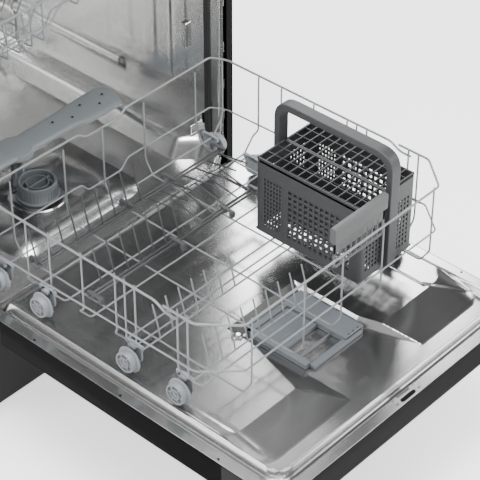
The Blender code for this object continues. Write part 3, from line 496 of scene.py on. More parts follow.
def build_door_rim():
    """Thin black edge strips that show beyond the steel sheet along both sides."""
    bm = bmesh.new()
    base, top = SKIN_LOW.z + 0.0015, DOOR_Z - 0.0004
    for sign in (-1, 1):
        slab(bm, (sign * (HALF_DOOR - 0.0012), FREE_Y, base), (sign * HALF_DOOR, -0.006, top))
    box(bm, (-HALF_DOOR, FREE_Y, base), (HALF_DOOR, FREE_Y + 0.0009, top))
    from_bmesh("door_edge_strips", bm, BLACK, "door")


def build_latch():
    """The latch's slot, the recess behind it, and the small holes in the door's flange."""
    bm = bmesh.new()
    outline = shifted(rounded(0.034, 0.007, 0.0034), 0, FREE_Y + 0.008)
    prism(bm, outline, "Z", DOOR_Z + 0.00005, DOOR_Z + 0.0004)
    from_bmesh("latch_slot", bm, DARK, "door", ["door_latch"])
    bm = bmesh.new()
    outline = shifted(rounded(0.03, 0.005, 0.0024), 0, FREE_Y + 0.0185)
    prism(bm, outline, "Z", DOOR_Z - 0.0001, DOOR_Z + 0.0003)
    from_bmesh("catch_recess", bm, MOTOR, "door")
    side_x = HALF_DOOR - 0.0065
    holes = [(x, 0.0075, 0.0016) for x in (-0.026, 0.026)] + [(x, 0.018, 0.0012) for x in (-0.024, 0.024)]
    holes += [(sign * side_x, y, 0.0022) for sign in (-1, 1) for y in (0.128, 0.33, 0.52)]
    bm = bmesh.new()
    for x, y, radius in holes:
        disc(bm, (x, FREE_Y + y, DOOR_Z + 0.0001), radius, 0.0002, -0.0002)
    from_bmesh("flange_holes", bm, DARK, "door")


# ---- detergent dispenser ----
def build_dispenser():
    """The dispenser's housing with its slots, and the bright cap beside it."""
    low, high = DISPENSER_LOW, DISPENSER_HIGH
    floor, top = DOOR_Z + 0.0002, DOOR_Z + 0.01
    bm = boxes(
        ((low.x, low.y + 0.01, floor), (low.x + 0.0125, high.y, top)),
        ((low.x + 0.01, low.y, floor), (high.x - 0.006, low.y + 0.0105, top - 0.003)),
        ((high.x - 0.0435, low.y + 0.004, floor), (high.x, high.y, top + 0.0015)),
        ((low.x, high.y - 0.01, floor), (high.x, high.y, top)),
        ((low.x + 0.012, low.y + 0.062, floor), (high.x - 0.043, low.y + 0.0665, top - 0.002)),
        ((low.x + 0.012, low.y + 0.034, floor - 0.004), (high.x - 0.043, low.y + 0.0365, top - 0.005)),
        ((low.x, low.y, low.z), (high.x, high.y, low.z + 0.004)),
    )
    from_bmesh("dispenser_housing", bm, DISPENSER, "door", ["dispenser_body"],
               bevel=0.0016)
    bm = bmesh.new()
    lathe(bm, [(0, 0.0), (0.0095, 0.0), (0.01, 0.003), (0.0092, 0.0085), (0.007, 0.0112), (0, 0.0122)],
          (low.x - 0.0235, high.y - 0.004, DOOR_Z + 0.004), segments=40)
    from_bmesh("steel_dome", bm, BRIGHT, "door")
    build_dispenser_lid()
    build_rinse_cap()
    bm = bmesh.new()
    for step in range(3):
        x = high.x - 0.034 + 0.011 * step
        box(bm, (x, low.y + 0.0065, top + 0.001), (x + 0.0035, low.y + 0.0085, top + 0.0017))
    for step in range(3):
        z = floor + 0.0028 + 0.0024 * step
        box(bm, (high.x - 0.041, low.y + 0.0037, z), (high.x - 0.003, low.y + 0.0042, z + 0.0007))
    from_bmesh("dispenser_slots", bm, DARK, "door")


def build_dispenser_lid():
    """The sliding lid: a plate with six ridges and a raised grip."""
    low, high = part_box("dispenser_lid")
    bm = boxes((low, (high.x, high.y, low.z + 0.0026)))
    for step in range(6):
        y = low.y + 0.016 + 0.0065 * step
        box(bm, (low.x + 0.01, y, low.z + 0.002), (high.x - 0.01, y + 0.0022, low.z + 0.0036))
    box(bm, (low.x + 0.02, low.y + 0.002, low.z + 0.002), (high.x - 0.02, low.y + 0.007, high.z))
    from_bmesh("dispenser_sliding_lid", bm, DISPENSER, "dispenser_lid",
               ["dispenser_lid"], bevel=0.0007)


def build_rinse_cap():
    """The round cap, with a bar to turn it by."""
    low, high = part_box("rinse_cap")
    radius = (high.x - low.x) / 2
    x, y = (low.x + high.x) / 2, (low.y + high.y) / 2
    bm = bmesh.new()
    lathe(bm, [(0, low.z), (radius, low.z), (radius, high.z - 0.004), (radius - 0.001, high.z - 0.003),
               (radius - 0.003, high.z - 0.0026), (0, high.z - 0.0026)], (x, y, 0), segments=40)
    box(bm, (x - radius + 0.003, y - 0.0015, high.z - 0.003), (x + radius - 0.003, y + 0.0015, high.z))
    from_bmesh("rinse_cap_turned", bm, DISPENSER, "rinse_cap", ["rinse_cap"],
               bevel=0.0005)


# ---- tub ----
def tub_outline(y):
    """The tub's section at depth y: its right half, from the middle of the floor to the middle of the top."""
    shelf = 0.277 - 0.031 * ramp(y, 0.088, 0.134)
    dip = TUB_FLOOR + 0.0012
    wall, wall_low, wall_top = TUB_X - 0.0008, 0.3, TUB_TOP - 0.02
    bend = 0.018
    points = [(0.0, dip), (0.12, dip + 0.0006), (shelf - 0.016, dip + 0.004), (shelf - 0.004, 0.262),
              (shelf + 0.002, 0.2715), (min(shelf + 0.012, 0.28), 0.2755), (0.2802, 0.2768), (0.2806, 0.283),
              (wall, wall_low)]
    points += [(wall, wall_low + (wall_top - wall_low) * step / 69) for step in range(1, 70)]
    for step in range(1, 7):
        angle = step * pi / 12
        points.append((wall - bend * (1 - cos(angle)), wall_top + bend * sin(angle)))
    return [*points, (0.13, TUB_TOP - 0.0015), (0.0, TUB_TOP - 0.0015)]


def wall_press(y, z):
    """How far the side wall is pressed inward at a place."""
    rib = ramp(y, 0.288, 0.3) * (1 - ramp(abs(z - 0.348), 0.006, 0.0105))
    step = ramp(z, 0.362, 0.366) * 0.0012
    inner = 0.0007 * (ramp(y, 0.205, 0.209) - ramp(y, 0.235, 0.238)) * ramp(z, 0.395, 0.4)
    panels = 0.0
    for start in (0.13, 0.265, 0.325, 0.385, 0.445, 0.505):
        panels += 0.0004 * (ramp(y, start, start + 0.004) - ramp(y, start + 0.03, start + 0.034))
    panels *= ramp(z, 0.392, 0.396) * (1 - ramp(z, 0.62, 0.63))
    frame_rib = 0.0009 * (1 - ramp(abs(y - 0.172), 0.0012, 0.004)) * ramp(z, 0.378, 0.384)
    return 0.007 * rib + step + inner + panels + frame_rib


def tub_sections():
    """(how far the section is widened, its depth) from the front flange to the back wall's bend."""
    flange = 0.015
    depth = spread((0.0, 0.002), (0.03, 0.004), (0.075, 0.003), (0.12, 0.0035), (0.48, 0.004), (0.525, 1))
    sections = [(flange, FRONT_Y + 0.0014), (flange, FRONT_Y), (0.003, FRONT_Y), (0.0012, FRONT_Y + 0.0006),
                (0.0, FRONT_Y + 0.003)]
    sections += [(0.0, FRONT_Y + 0.005 + d) for d in depth]
    back = sections[-1][1]
    radius = 0.012
    for step in range(1, 6):
        angle = step * pi / 10
        y = min(back + radius * sin(angle), BACK_Y - 0.0001)
        sections.append((-radius * (1 - cos(angle)), y))
    return sections


def build_tub():
    bm = bmesh.new()
    rings = []
    for extra, y in tub_sections():
        ring = []
        for x, z in tub_outline(max(y, FRONT_Y + 0.006)):
            if x > 0.25 and 0.3 < z < TUB_TOP - 0.03:
                x -= wall_press(y, z)
            out_x = x + (extra if x > 0.2 else extra * x / 0.2)
            out_z = z + (extra if z > TUB_TOP - 0.01 else (-extra if z < 0.26 else 0.0))
            ring.append((out_x, out_z))
        full = ring + [(-x, z) for x, z in reversed(ring[1:-1])]
        rings.append([bm.verts.new((x, y, z)) for x, z in full])
    for lower, upper in zip(rings, rings[1:]):
        bridge(bm, lower, upper)
    last = rings[-1]
    size = len(last)
    for k in range(size // 2):
        facing = (last[(size - k - 1) % size], last[(size - k) % size])
        corners = list(dict.fromkeys((last[k], last[k + 1], *facing)))
        if len(corners) > 2:
            bm.faces.new(corners)
    made = mesh_object("tub_shell", bm, 50)
    solidify(made, 0.0007)
    finish_piece(made, TUB_STEEL, "cabinet", ["tub"])
    build_back_ribs()
    build_tub_fittings()
    build_gasket()
    build_front_strips()


def build_back_ribs():
    """Upright ribs pressed into the back wall."""
    bm = bmesh.new()
    y = BACK_Y - 0.0003
    for x in (-0.2, -0.12, 0.12, 0.2):
        prism(bm, shifted(rounded(0.018, 0.4, 0.008), x, 0.56), "Y", y - 0.002, y + 0.0004)
    from_bmesh("back_wall_ribs", bm, TUB_STEEL, "cabinet", bevel=0.002)


def build_tub_fittings():
    """Fittings on both side walls: brackets, slots, and stops for the lower rack."""
    fittings = (
        ("wall_brackets", BRIGHT, "stainless", (0.0095, 0.001), (0.125, 0.139), (0.45, 0.5), 0.0028),
        ("wall_slots", DARK, "base_plastic", (0.0016, 0.001), (0.0905, 0.097), (0.306, 0.326), 0.0),
        ("rack_stops", TUB_STEEL, "stainless", (0.018, 0.0012), (0.108, 0.126), (0.2795, 0.299), 0.003),
    )
    for name, mat, slot, (near, far), (y_low, y_high), (z_low, z_high), bevel in fittings:
        bm = bmesh.new()
        for sign in (-1, 1):
            slab(bm, (sign * (TUB_X - near), y_low, z_low), (sign * (TUB_X - far), y_high, z_high))
        from_bmesh(name, bm, mat, "cabinet", bevel=bevel, segments=3)


def build_gasket():
    """Three beads that run up both sides of the tub's mouth and over its top."""
    x, top = TUB_X - 0.0034, TUB_TOP - 0.0044
    beads = ((0.077, 0.0019), (0.0815, 0.0024), (0.0862, 0.0019))
    runs = [(both_sides([(x, y, 0.282), (x, y, top)]), radius, 0.016) for y, radius in beads]
    wires("door_seal", runs, RUBBER, "cabinet", ["door_gasket"])


def build_front_strips():
    """A pressed rail on each front flange, and the sill between the tub and the door."""
    bm = bmesh.new()
    for sign in (-1, 1):
        low, high = sorted((sign * 0.2862, sign * 0.2925))
        box(bm, (low, FRONT_Y - 0.0034, 0.292), (high, FRONT_Y - 0.0002, 0.82))
        for z in (0.33, 0.395, 0.47, 0.56, 0.65, 0.74):
            box(bm, (low + 0.001, FRONT_Y - 0.0046, z), (high - 0.001, FRONT_Y - 0.0032, z + 0.018))
    from_bmesh("front_flange_rails", bm, BRIGHT, "cabinet", bevel=0.0009)
    bm = boxes(((-0.2795, 0.043, 0.229), (0.2795, FRONT_Y + 0.006, 0.2302)))
    outline = [(0.043, 0.2295), (0.0435, 0.234), (0.046, 0.2365), (0.05, 0.236), (0.0545, 0.233),
               (0.0545, 0.229)]
    prism(bm, outline, "X", -0.279, 0.279)
    from_bmesh("tub_sill", bm, STEEL, "cabinet", sharp=60)


# ---- sump, filter and spray arms ----
def build_filter():
    """The perforated sheet round the filter, its rim, and the sump's neck below."""
    cx, cy = (CUP_LOW.x + CUP_HIGH.x) / 2, (CUP_LOW.y + CUP_HIGH.y) / 2
    low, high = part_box("filter_plate")
    hole = 0.047
    outline = rounded(high.x - low.x, high.y - low.y, 0.045, 10)
    outline = shifted(outline, (low.x + high.x) / 2, (low.y + high.y) / 2)
    bm = bmesh.new()
    outer = [bm.verts.new((x, y, low.z + 0.0024)) for x, y in outline]
    inner = []
    for x, y in outline:
        angle = atan2(y - cy, x - cx)
        inner.append(bm.verts.new((cx + hole * cos(angle), cy + hole * sin(angle), low.z + 0.0014)))
    bridge(bm, outer, inner)
    made = mesh_object("filter_sheet", bm)
    solidify(made, 0.0012)
    finish_piece(made, perforated(), "cabinet", ["filter_plate"])
    rim = [(hole, 0.0022), (0.0505, 0.003), (0.0525, 0.0018), (0.0525, 0.0004), (hole, 0.0004),
           (hole, 0.0022)]
    bm = bmesh.new()
    lathe(bm, [(r, low.z + h) for r, h in rim], (cx, cy, 0), segments=64)
    from_bmesh("filter_sheet_rim", bm, BRIGHT, "cabinet")
    top = low.z + 0.001
    bm = bmesh.new()
    lathe(bm, [(0, 0.176), (hole, 0.176), (hole, top), (0.0455, top), (0.0455, 0.178), (0, 0.178)],
          (cx, cy, 0), segments=64)
    from_bmesh("sump_neck", bm, DARK, "cabinet")
    build_cup(cx, cy)


def perforated():
    """Steel with a fine grid of dark holes: the holes are painted as dark grey dots, painted shade where one
    looks through them.
    """
    made = surface("perforated_steel", (0.5, 0.5, 0.5), 0.26, metallic=1.0, spread=0.05, rough_spread=0.05,
                   scale=700, bump=0.04)
    tree = made.node_tree
    nodes, links = tree.nodes, tree.links
    shader = nodes["Principled BSDF"]
    place = nodes.new("ShaderNodeTexCoord")
    dots = nodes.new("ShaderNodeTexVoronoi")
    dots.inputs["Scale"].default_value = 420.0
    dots.inputs["Randomness"].default_value = 0.0
    links.new(place.outputs["Object"], dots.inputs["Vector"])
    holes = nodes.new("ShaderNodeMapRange")
    holes.inputs["From Min"].default_value = 0.16
    holes.inputs["From Max"].default_value = 0.3
    links.new(dots.outputs["Distance"], holes.inputs["Value"])
    # Painted shade: the dots where the holes are get a dark grey colour instead of the steel's.
    tint = mix_node(tree, holes.outputs["Result"])
    tint.inputs[6].default_value = (0.2, 0.2, 0.2, 1)
    links.new(shader.inputs["Base Color"].links[0].from_socket, tint.inputs[7])
    links.new(tint.outputs[2], shader.inputs["Base Color"])
    return made


def build_cup(cx, cy):
    """The round filter insert: ribbed wall, collar, inner tube and a bar to turn it by."""
    top, low = CUP_HIGH.z, CUP_LOW.z
    r = 0.035
    collar = 0.2385
    wall = [(r, low), (r, top - 0.004), (r - 0.001, top - 0.001), (r - 0.003, top), (r - 0.005, top - 0.001),
            (r - 0.006, top - 0.006), (r - 0.006, top - 0.012), (r - 0.009, top - 0.013),
            (r - 0.009, low + 0.02), (0.006, low + 0.018), (0.006, low), (r, low)]
    band = [(r + 0.003, 0.2335), (r + 0.003, 0.2365), (r - 0.001, collar), (r - 0.001, 0.2335),
            (r + 0.003, 0.2335)]
    tube = [(0.019, top - 0.02), (0.021, top - 0.02), (0.021, top - 0.004), (0.019, top - 0.004),
            (0.019, top - 0.02)]
    bm = bmesh.new()
    lathe(bm, wall, (cx, cy, 0), segments=72)
    lathe(bm, band, (cx, cy, 0), segments=72)
    ribs = 36
    for step in range(ribs):
        add_turned(bm, (r - 0.001, -0.0007, collar), (r + 0.001, 0.0007, top - 0.007), (cx, cy, 0),
                   2 * pi * step / ribs, "Z")
    lathe(bm, tube, (cx, cy, 0))
    box(bm, (cx - r + 0.006, cy - 0.0022, top - 0.02), (cx + r - 0.006, cy + 0.0022, top - 0.006))
    from_bmesh("filter_insert", bm, FILTER, "filter_cylinder", ["filter_cylinder"],
               sharp=35)


# Places of a spray arm's nozzles: share of its half length, and metres to the side.
NOZZLES = ((0.4, 0.006), (0.55, -0.008), (0.7, 0.01), (0.82, -0.012), (0.92, 0.006))


def arm_half(reach, hub):
    """Half of a spray arm's plan: (distance along, rear edge, front edge)."""
    beyond_hub = (
        (0.3, -0.0265, 0.027), (0.5, -0.026, 0.029), (0.56, -0.029, 0.0305), (0.62, -0.0355, 0.0325),
        (0.86, -0.0355, 0.035), (0.95, -0.035, 0.034), (0.985, -0.028, 0.026), (1.0, -0.018, 0.016),
    )
    return [(0.0, -hub, hub), (0.03, -hub * 0.92, hub * 0.95), *[(k * reach, a, b) for k, a, b in beyond_hub]]


def build_spray_arm(node, name, mid, hub):
    """A flat arm with a crowned back, raised nozzles and a hub; the dark jets are a second piece."""
    low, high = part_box(node)
    cx, cy = (low.x + high.x) / 2, (low.y + high.y) / 2
    reach = (high.x - low.x) / 2
    thick = 0.0125
    sides = 20
    half = arm_half(reach, hub)
    bm = bmesh.new()
    rings = []
    for along, rear, front in [(-d, -b, -a) for d, a, b in reversed(half[1:])] + half:
        ring = []
        width, centre = (front - rear) / 2, (front + rear) / 2
        for step in range(sides):
            angle = 2 * pi * step / sides
            u = copysign(abs(cos(angle)) ** 0.45, cos(angle)) * width + centre
            v = copysign(abs(sin(angle)) ** 0.55, sin(angle)) * thick / 2
            ring.append(bm.verts.new((cx + along, cy + u, mid + v)))
        rings.append(ring)
    for first, second in zip(rings, rings[1:]):
        bridge(bm, first, second)
    bm.faces.new(rings[0])
    bm.faces.new(reversed(rings[-1]))
    boss = [(0, -0.007), (hub + 0.004, -0.007), (hub + 0.005, 0), (hub + 0.003, 0.006), (hub * 0.5, 0.0078),
            (0, 0.008)]
    nozzle = [(0, 0), (0.0068, 0), (0.0062, 0.007), (0.004, 0.0074), (0.003, 0.0066), (0, 0.006)]
    lathe(bm, [(r, mid + h) for r, h in boss], (cx, cy, 0), segments=40)
    jets = bmesh.new()
    for sign in (-1, 1):
        for along, side in NOZZLES:
            place = (cx + sign * along * reach, cy + sign * side, 0)
            lathe(bm, [(r, mid + h) for r, h in nozzle], place, segments=24)
            disc(jets, place, 0.0026, mid + 0.0064, mid + 0.0069)
    from_bmesh(name, bm, ARM, node, [node], sharp=45)
    from_bmesh(name + "_jets", jets, DARK, node)


def build_arms():
    build_spray_arm("lower_spray_arm", "lower_arm_moulding", (ARM_LOW.z + ARM_HIGH.z) / 2, 0.028)
    build_spray_arm("upper_spray_arm", "upper_arm_moulding", UPPER_ARM_LOW.z + 0.0105, 0.02)


# ---- lower rack ----
CROSS_WIRES = (
    (-0.392, -0.39), (-0.374, -0.37), (-0.271, -0.284), (-0.256, -0.263), (-0.235, -0.243),
    (-0.158, -0.172), (-0.101, -0.101), (-0.041, -0.05), (0.034, 0.034),
)
LONG_WIRE_X = (-0.206, -0.091, -0.004, 0.092, 0.216)


def build_rack():
    runs = []
    for floor_y, y in CROSS_WIRES:
        top = RIM_Z + 0.004 if y < -0.36 else RIM_Z + 0.001
        half = [(-0.2659, y, top), (-0.2659, y, MID_Z - 0.01), (-0.2625, floor_y, 0.35),
                (-0.24, floor_y, FLOOR_Z)]
        runs.append((both_sides(half), WIRE_R, 0.006))
    for y, count in ((CROSS_WIRES[2][0], 7), (CROSS_WIRES[1][0], 9)):
        for step in range(count):
            x = -0.2035 + 0.028 * step
            prong = [(x, y, FLOOR_Z), (x, y + 0.004, FLOOR_Z + 0.02), (x, y + 0.015, FLOOR_Z + 0.058)]
            runs.append((prong, WIRE_R * 0.85, 0.008))
    wires("rack_cross_wires", runs, WIRE, "lower_rack", ["rack_floor"])
    low, shoulder = FLOOR_Z - 0.003, 0.3465
    front, rear = RACK_FRONT_Y + 0.003, RACK_REAR_Y - 0.0032
    runs = []
    for x in LONG_WIRE_X:
        path = [(x, front, RIM_Z + 0.001), (x, front, shoulder), (x, RACK_FRONT_Y + 0.02, low),
                (x, RACK_REAR_Y - 0.02, low), (x, rear, shoulder), (x, rear, RIM_Z - 0.01)]
        runs.append((path, WIRE_R, 0.006))
    wires("rack_long_wires", runs, WIRE, "lower_rack", ["rack_front", "rack_rear"])
    build_rims()
    build_holders()
    build_wheels()
    build_tines()


def build_rims():
    """The rack's rim and middle wire: at each height, a bent wire round the front and one round the rear."""
    edge, turn_x = 0.2705, 0.224
    rear_x, corner_x, dip_x, bottom_x = 0.27, 0.256, 0.054, 0.038
    bend_y = RACK_FRONT_Y + 0.056
    rear_y = RACK_REAR_Y - 0.028
    halves = (
        ([(-edge, -0.346, RIM_Z), (-edge, bend_y, RIM_Z), (-turn_x, RACK_FRONT_Y, RIM_Z)], RIM_R, 0.007),
        ([(-edge, RACK_FRONT_Y + 0.09, MID_Z + 0.008), (-edge, bend_y, MID_Z + 0.008),
          (-turn_x, RACK_FRONT_Y, MID_Z + 0.012)], WIRE_R, 0.006),
        ([(-rear_x, -0.372, 0.46), (-rear_x, -0.35, 0.46), (-rear_x, -0.33, RIM_Z), (-rear_x, rear_y, RIM_Z),
          (-corner_x, RACK_REAR_Y, RIM_Z), (-dip_x, RACK_REAR_Y, RIM_Z - 0.002),
          (-bottom_x, RACK_REAR_Y, RIM_Z - 0.014)], RIM_R, 0.007),
        ([(-rear_x, -0.398, MID_Z + 0.007), (-rear_x, rear_y, MID_Z - 0.004),
          (-corner_x, RACK_REAR_Y, MID_Z - 0.004), (-dip_x, RACK_REAR_Y, MID_Z - 0.004),
          (-bottom_x, RACK_REAR_Y, MID_Z - 0.022)], WIRE_R, 0.006),
    )
    runs = [(both_sides(half), radius, bend) for half, radius, bend in halves]
    wires("rack_rims", runs, WIRE, "lower_rack", ["rack_left", "rack_right"])


WHEEL_R = 0.0225
WHEEL_X = 0.257
WHEEL_Y = [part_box(f"wheel_left_{k}")[0].y + WHEEL_R for k in (1, 2, 3, 4)]
WHEEL_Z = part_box("wheel_left_1")[0].z + WHEEL_R
# A wheel's section: (radius, distance towards the rack's middle).
WHEEL_PROFILE = (
    (0, -0.0062), (0.003, -0.0062), (0.003, -0.0045), (0.0068, -0.0045), (0.0076, -0.007),
    (0.009, -0.007), (0.0098, -0.0035), (0.014, -0.003), (0.0152, -0.0068), (0.0172, -0.007),
    (0.018, -0.0058), (0.018, 0.0028), (0.0215, 0.0036), (0.0225, 0.0044), (0.0225, 0.0058),
    (0.0217, 0.0066), (0.015, 0.0069), (0.011, 0.005), (0, 0.005),
)


def build_holders():
    """The clips that carry the wheels: a plate with two bosses, and a foot under the rack's floor wires."""
    bm = bmesh.new()
    for sign in (-1, 1):
        inner, outer = sorted((sign * 0.237, sign * 0.241))
        foot_outer = outer + 0.002 if sign > 0 else outer
        for y in WHEEL_Y:
            prism(bm, shifted(rounded(0.03, 0.036, 0.01), y, WHEEL_Z + 0.0095), "X", inner, outer)
            box(bm, (inner, y - 0.0185, FLOOR_Z - 0.0045), (foot_outer, y + 0.0185, FLOOR_Z + 0.0035))
            disc(bm, (sign * 0.241, y, WHEEL_Z), 0.0085, 0, sign * 0.007, "X", 28)
            lathe(bm, [(0, 0), (0.0065, 0), (0.0065, sign * 0.006), (0.004, sign * 0.007), (0, sign * 0.007)],
                  (sign * 0.2405, y, WHEEL_Z + 0.0215), "X", 28)
    from_bmesh("wheel_holders", bm, WHEEL, "lower_rack", bevel=0.0008)


def build_wheels():
    """Eight wheels with six ribs each; the hub is a second piece."""
    ribs = 6
    for side, sign in (("left", -1), ("right", 1)):
        near, far = sorted((sign * 0.003, sign * 0.0056))
        for number, y in enumerate(WHEEL_Y, 1):
            node = f"wheel_{side}_{number}"
            centre = (sign * WHEEL_X, y, WHEEL_Z)
            bm = bmesh.new()
            lathe(bm, [(r, -sign * h) for r, h in WHEEL_PROFILE], centre, "X", 44)
            for step in range(ribs):
                add_turned(bm, (near, 0.0085, -0.0011), (far, 0.0155, 0.0011), centre,
                           2 * pi * step / ribs, "X")
            hub = disc(bmesh.new(), centre, 0.003, sign * 0.005, sign * 0.0056, "X", 20)
            from_bmesh(f"roller_hub_{side}_{number}", hub, CLIP, node)
            from_bmesh(f"roller_{side}_{number}", bm, WHEEL, node, [node], sharp=35)


# (node, shaft's y, first tine's x, number of tines, their angle in degrees, the shaft's two ends)
TINE_ROWS = (
    ("tines_rear_left", -0.011, -0.214, 9, 75, (-0.22, 0.024)),
    ("tines_rear_right", -0.011, 0.032, 7, 170, (0.027, 0.2235)),
    ("tines_front_left", -0.123, -0.181, 7, 75, (-0.2125, -0.001)),
    ("tines_front_right", -0.123, 0.0465, 5, 10, (0.0405, 0.175)),
)
TINE_LENGTH = 0.07
TINE_PITCH = 0.029
SHAFT_R = 0.0021
# (node, shaft's y, how far the fixed wire lies from it, x of the clips)
MOUNTS = (
    ("tine_mount_rear", -0.011, 0.0072, (-0.2075, -0.004, 0.096, 0.2175)),
    ("tine_mount_front", -0.123, -0.0072, (-0.2065, -0.0215, 0.095, 0.169)),
)
# A clip's three blocks: half width, near and far from the shaft, bottom and top above it.
CLIP_BLOCKS = (
    (0.0028, -0.006, 0.026, 0.0028, 0.0062),
    (0.004, 0.004, 0.0105, -0.0034, 0.006),
    (0.004, 0.019, 0.0265, -0.006, 0.0045),
)


def build_tines():
    for name, y, first_x, count, degrees, ends in TINE_ROWS:
        angle = radians(degrees)
        reach = Vector((0, cos(angle), sin(angle))) * TINE_LENGTH
        runs = [([(end, y, SHAFT_Z) for end in ends], SHAFT_R, 0.01)]
        for step in range(count):
            base = Vector((first_x + TINE_PITCH * step, y, SHAFT_Z))
            runs.append(([base, base + reach * 0.3, base + reach], WIRE_R, 0.004))
        wires(name + "_wires", runs, TINE, name, [name])
    for node, y, offset, clips in MOUNTS:
        ends = (clips[0] - 0.004, clips[-1] + 0.004)
        runs = [([(end, y + offset, SHAFT_Z) for end in ends], SHAFT_R, 0.01)]
        wires(node + "_wire", runs, TINE, "lower_rack", [node])
        out = copysign(1.0, offset)
        bm = bmesh.new()
        for x in clips:
            for half, near, far, bottom, top in CLIP_BLOCKS:
                y_low, y_high = sorted((y + out * near, y + out * far))
                box(bm, (x - half, y_low, SHAFT_Z + bottom), (x + half, y_high, SHAFT_Z + top))
        from_bmesh(node + "_clips", bm, CLIP, "lower_rack", bevel=0.0011)


# ---- cutlery basket ----
BASKET_TOP = 0.467
WALL = 0.0022


def lattice(bm, low, high, axis, pitch, bar, level_pitch):
    """A grid of bars over a flat wall. axis is the wall's own direction, 'X' or 'Y'."""
    run = 0 if axis == "X" else 1
    length = high[run] - low[run]
    count = max(int(round(length / pitch)), 1)
    for step in range(count + 1):
        place = low[run] + length * step / count
        a, b = list(low), list(high)
        a[run], b[run] = place - bar / 2, place + bar / 2
        box(bm, a, b)
    levels = max(int(round((high[2] - low[2]) / level_pitch)), 1)
    thin = 0.0003
    other = 1 - run
    for step in range(levels + 1):
        z = low[2] + (high[2] - low[2]) * step / levels
        a, b = list(low), list(high)
        a[other], b[other] = low[other] + thin, high[other] - thin
        a[2], b[2] = z - bar / 2, z + bar / 2
        box(bm, a, b)


def basket_wall(bm, axis, across, height, bands, posts, panels):
    """One wall of the basket along an axis: two solid bands, upright posts, and a grid in each panel."""
    (near, far), (bottom, top) = across, height
    grid_low, grid_high = bottom + 0.014, top - 0.03
    thin = 0.0002

    def place(along, over, z):
        return (along, over, z) if axis == "X" else (over, along, z)

    for z_low, z_high in ((bottom, grid_low), (grid_high, top)):
        box(bm, place(bands[0], near, z_low), place(bands[1], far, z_high))
    for start, end in posts:
        box(bm, place(start, near + thin, bottom + 2 * thin), place(end, far - thin, top - 2 * thin))
    for start, end, pitch, bar, level_pitch in panels:
        lattice(bm, place(start, near, grid_low), place(end, far, grid_high), axis, pitch, bar, level_pitch)


def basket_corner(bm, x, y, sx, sy, radius, height):
    """A quarter of a tube in one corner of the basket."""
    angles = [step * pi / 12 for step in range(7)]
    outline = [(x + sx * radius * cos(a), y + sy * radius * sin(a)) for a in angles]
    inside = radius - WALL
    outline += [(x + sx * inside * cos(a), y + sy * inside * sin(a)) for a in reversed(angles)]
    prism(bm, outline, "Z", *height)


def basket_floor(bm, low, high, centre):
    """Bars under the basket both ways, and two thin walls along its middle."""
    bars, stringers = 14, 8
    for step in range(bars + 1):
        y = low.y + 0.002 + (high.y - low.y - 0.004) * step / bars
        box(bm, (low.x + 0.001, y - 0.0014, low.z), (high.x - 0.001, y + 0.0014, low.z + 0.0026))
    for step in range(stringers + 1):
        x = low.x + 0.002 + (high.x - low.x - 0.004) * step / stringers
        box(bm, (x - 0.0014, low.y + 0.001, low.z + 0.0003), (x + 0.0014, high.y - 0.001, low.z + 0.0023))
    for x in (centre - 0.0125, centre + 0.0125):
        box(bm, (x - 0.0009, low.y + 0.002, low.z + 0.004), (x + 0.0009, high.y - 0.002, high.z - 0.045))


def build_basket():
    low = Vector((BASKET_LOW.x, -0.414, BASKET_LOW.z))
    high = Vector((BASKET_HIGH.x, -0.197, BASKET_TOP))
    centre = (low.x + high.x) / 2
    corner = 0.009
    height = (low.z, high.z)
    x_ends, y_ends = (low.x + corner, high.x - corner), (low.y + corner, high.y - corner)
    side_posts = ((y_ends[0], low.y + 0.018), (high.y - 0.018, y_ends[1]), (high.y - 0.068, high.y - 0.056))
    side_panels = ((low.y + 0.018, high.y - 0.068, 0.0105, 0.0042, 0.0105),
                   (high.y - 0.056, high.y - 0.018, 0.0062, 0.0032, 0.008))
    end_posts = ((centre - 0.014, centre + 0.014), (x_ends[0], low.x + 0.014), (high.x - 0.014, x_ends[1]))
    end_panels = ((low.x + 0.014, centre - 0.014, 0.0082, 0.0038, 0.0088),
                  (centre + 0.014, high.x - 0.014, 0.0082, 0.0038, 0.0088))
    bm = bmesh.new()
    for x in ((low.x, low.x + WALL), (high.x - WALL, high.x)):
        basket_wall(bm, "Y", x, height, y_ends, side_posts, side_panels)
    for y in ((low.y, low.y + WALL), (high.y - WALL, high.y)):
        basket_wall(bm, "X", y, height, x_ends, end_posts, end_panels)
    for sx, x in zip((-1, 1), x_ends):
        for sy, y in zip((-1, 1), y_ends):
            basket_corner(bm, x, y, sx, sy, corner, height)
    basket_floor(bm, low, high, centre)
    for x_low, x_high in ((low.x, low.x + 0.0032), (high.x - 0.0032, high.x)):
        box(bm, (x_low, y_ends[0], high.z - 0.004), (x_high, y_ends[1], high.z + 0.0001))
    from_bmesh("basket_moulding", bm, BASKET, "cutlery_basket", ["cutlery_basket"],
               sharp=35)
    build_handle(centre, low.z + 0.004)
    build_lids()
    build_front_plate()


def build_handle(centre, foot):
    """The thick arch over the basket."""
    top, near, far = BASKET_HIGH.z, BASKET_LOW.y, BASKET_HIGH.y
    bar, head = 0.012, 0.013
    outer = [(near, foot), (near, top), (far, top), (far, foot)]
    inner = [(near + bar, foot), (near + bar, top - head), (far - bar, top - head), (far - bar, foot)]

    def soften(points, bend):
        return [(p.x, p.y) for p in bent([(u, v, 0) for u, v in points], bend, 8)]

    outline = [*soften(outer, 0.034), *reversed(soften(inner, 0.024))]
    half = 0.0108
    bm = prism(bmesh.new(), outline, "X", centre - half, centre + half)
    from_bmesh("basket_handle_arch", bm, BASKET, "cutlery_basket", bevel=0.0016, segments=3)


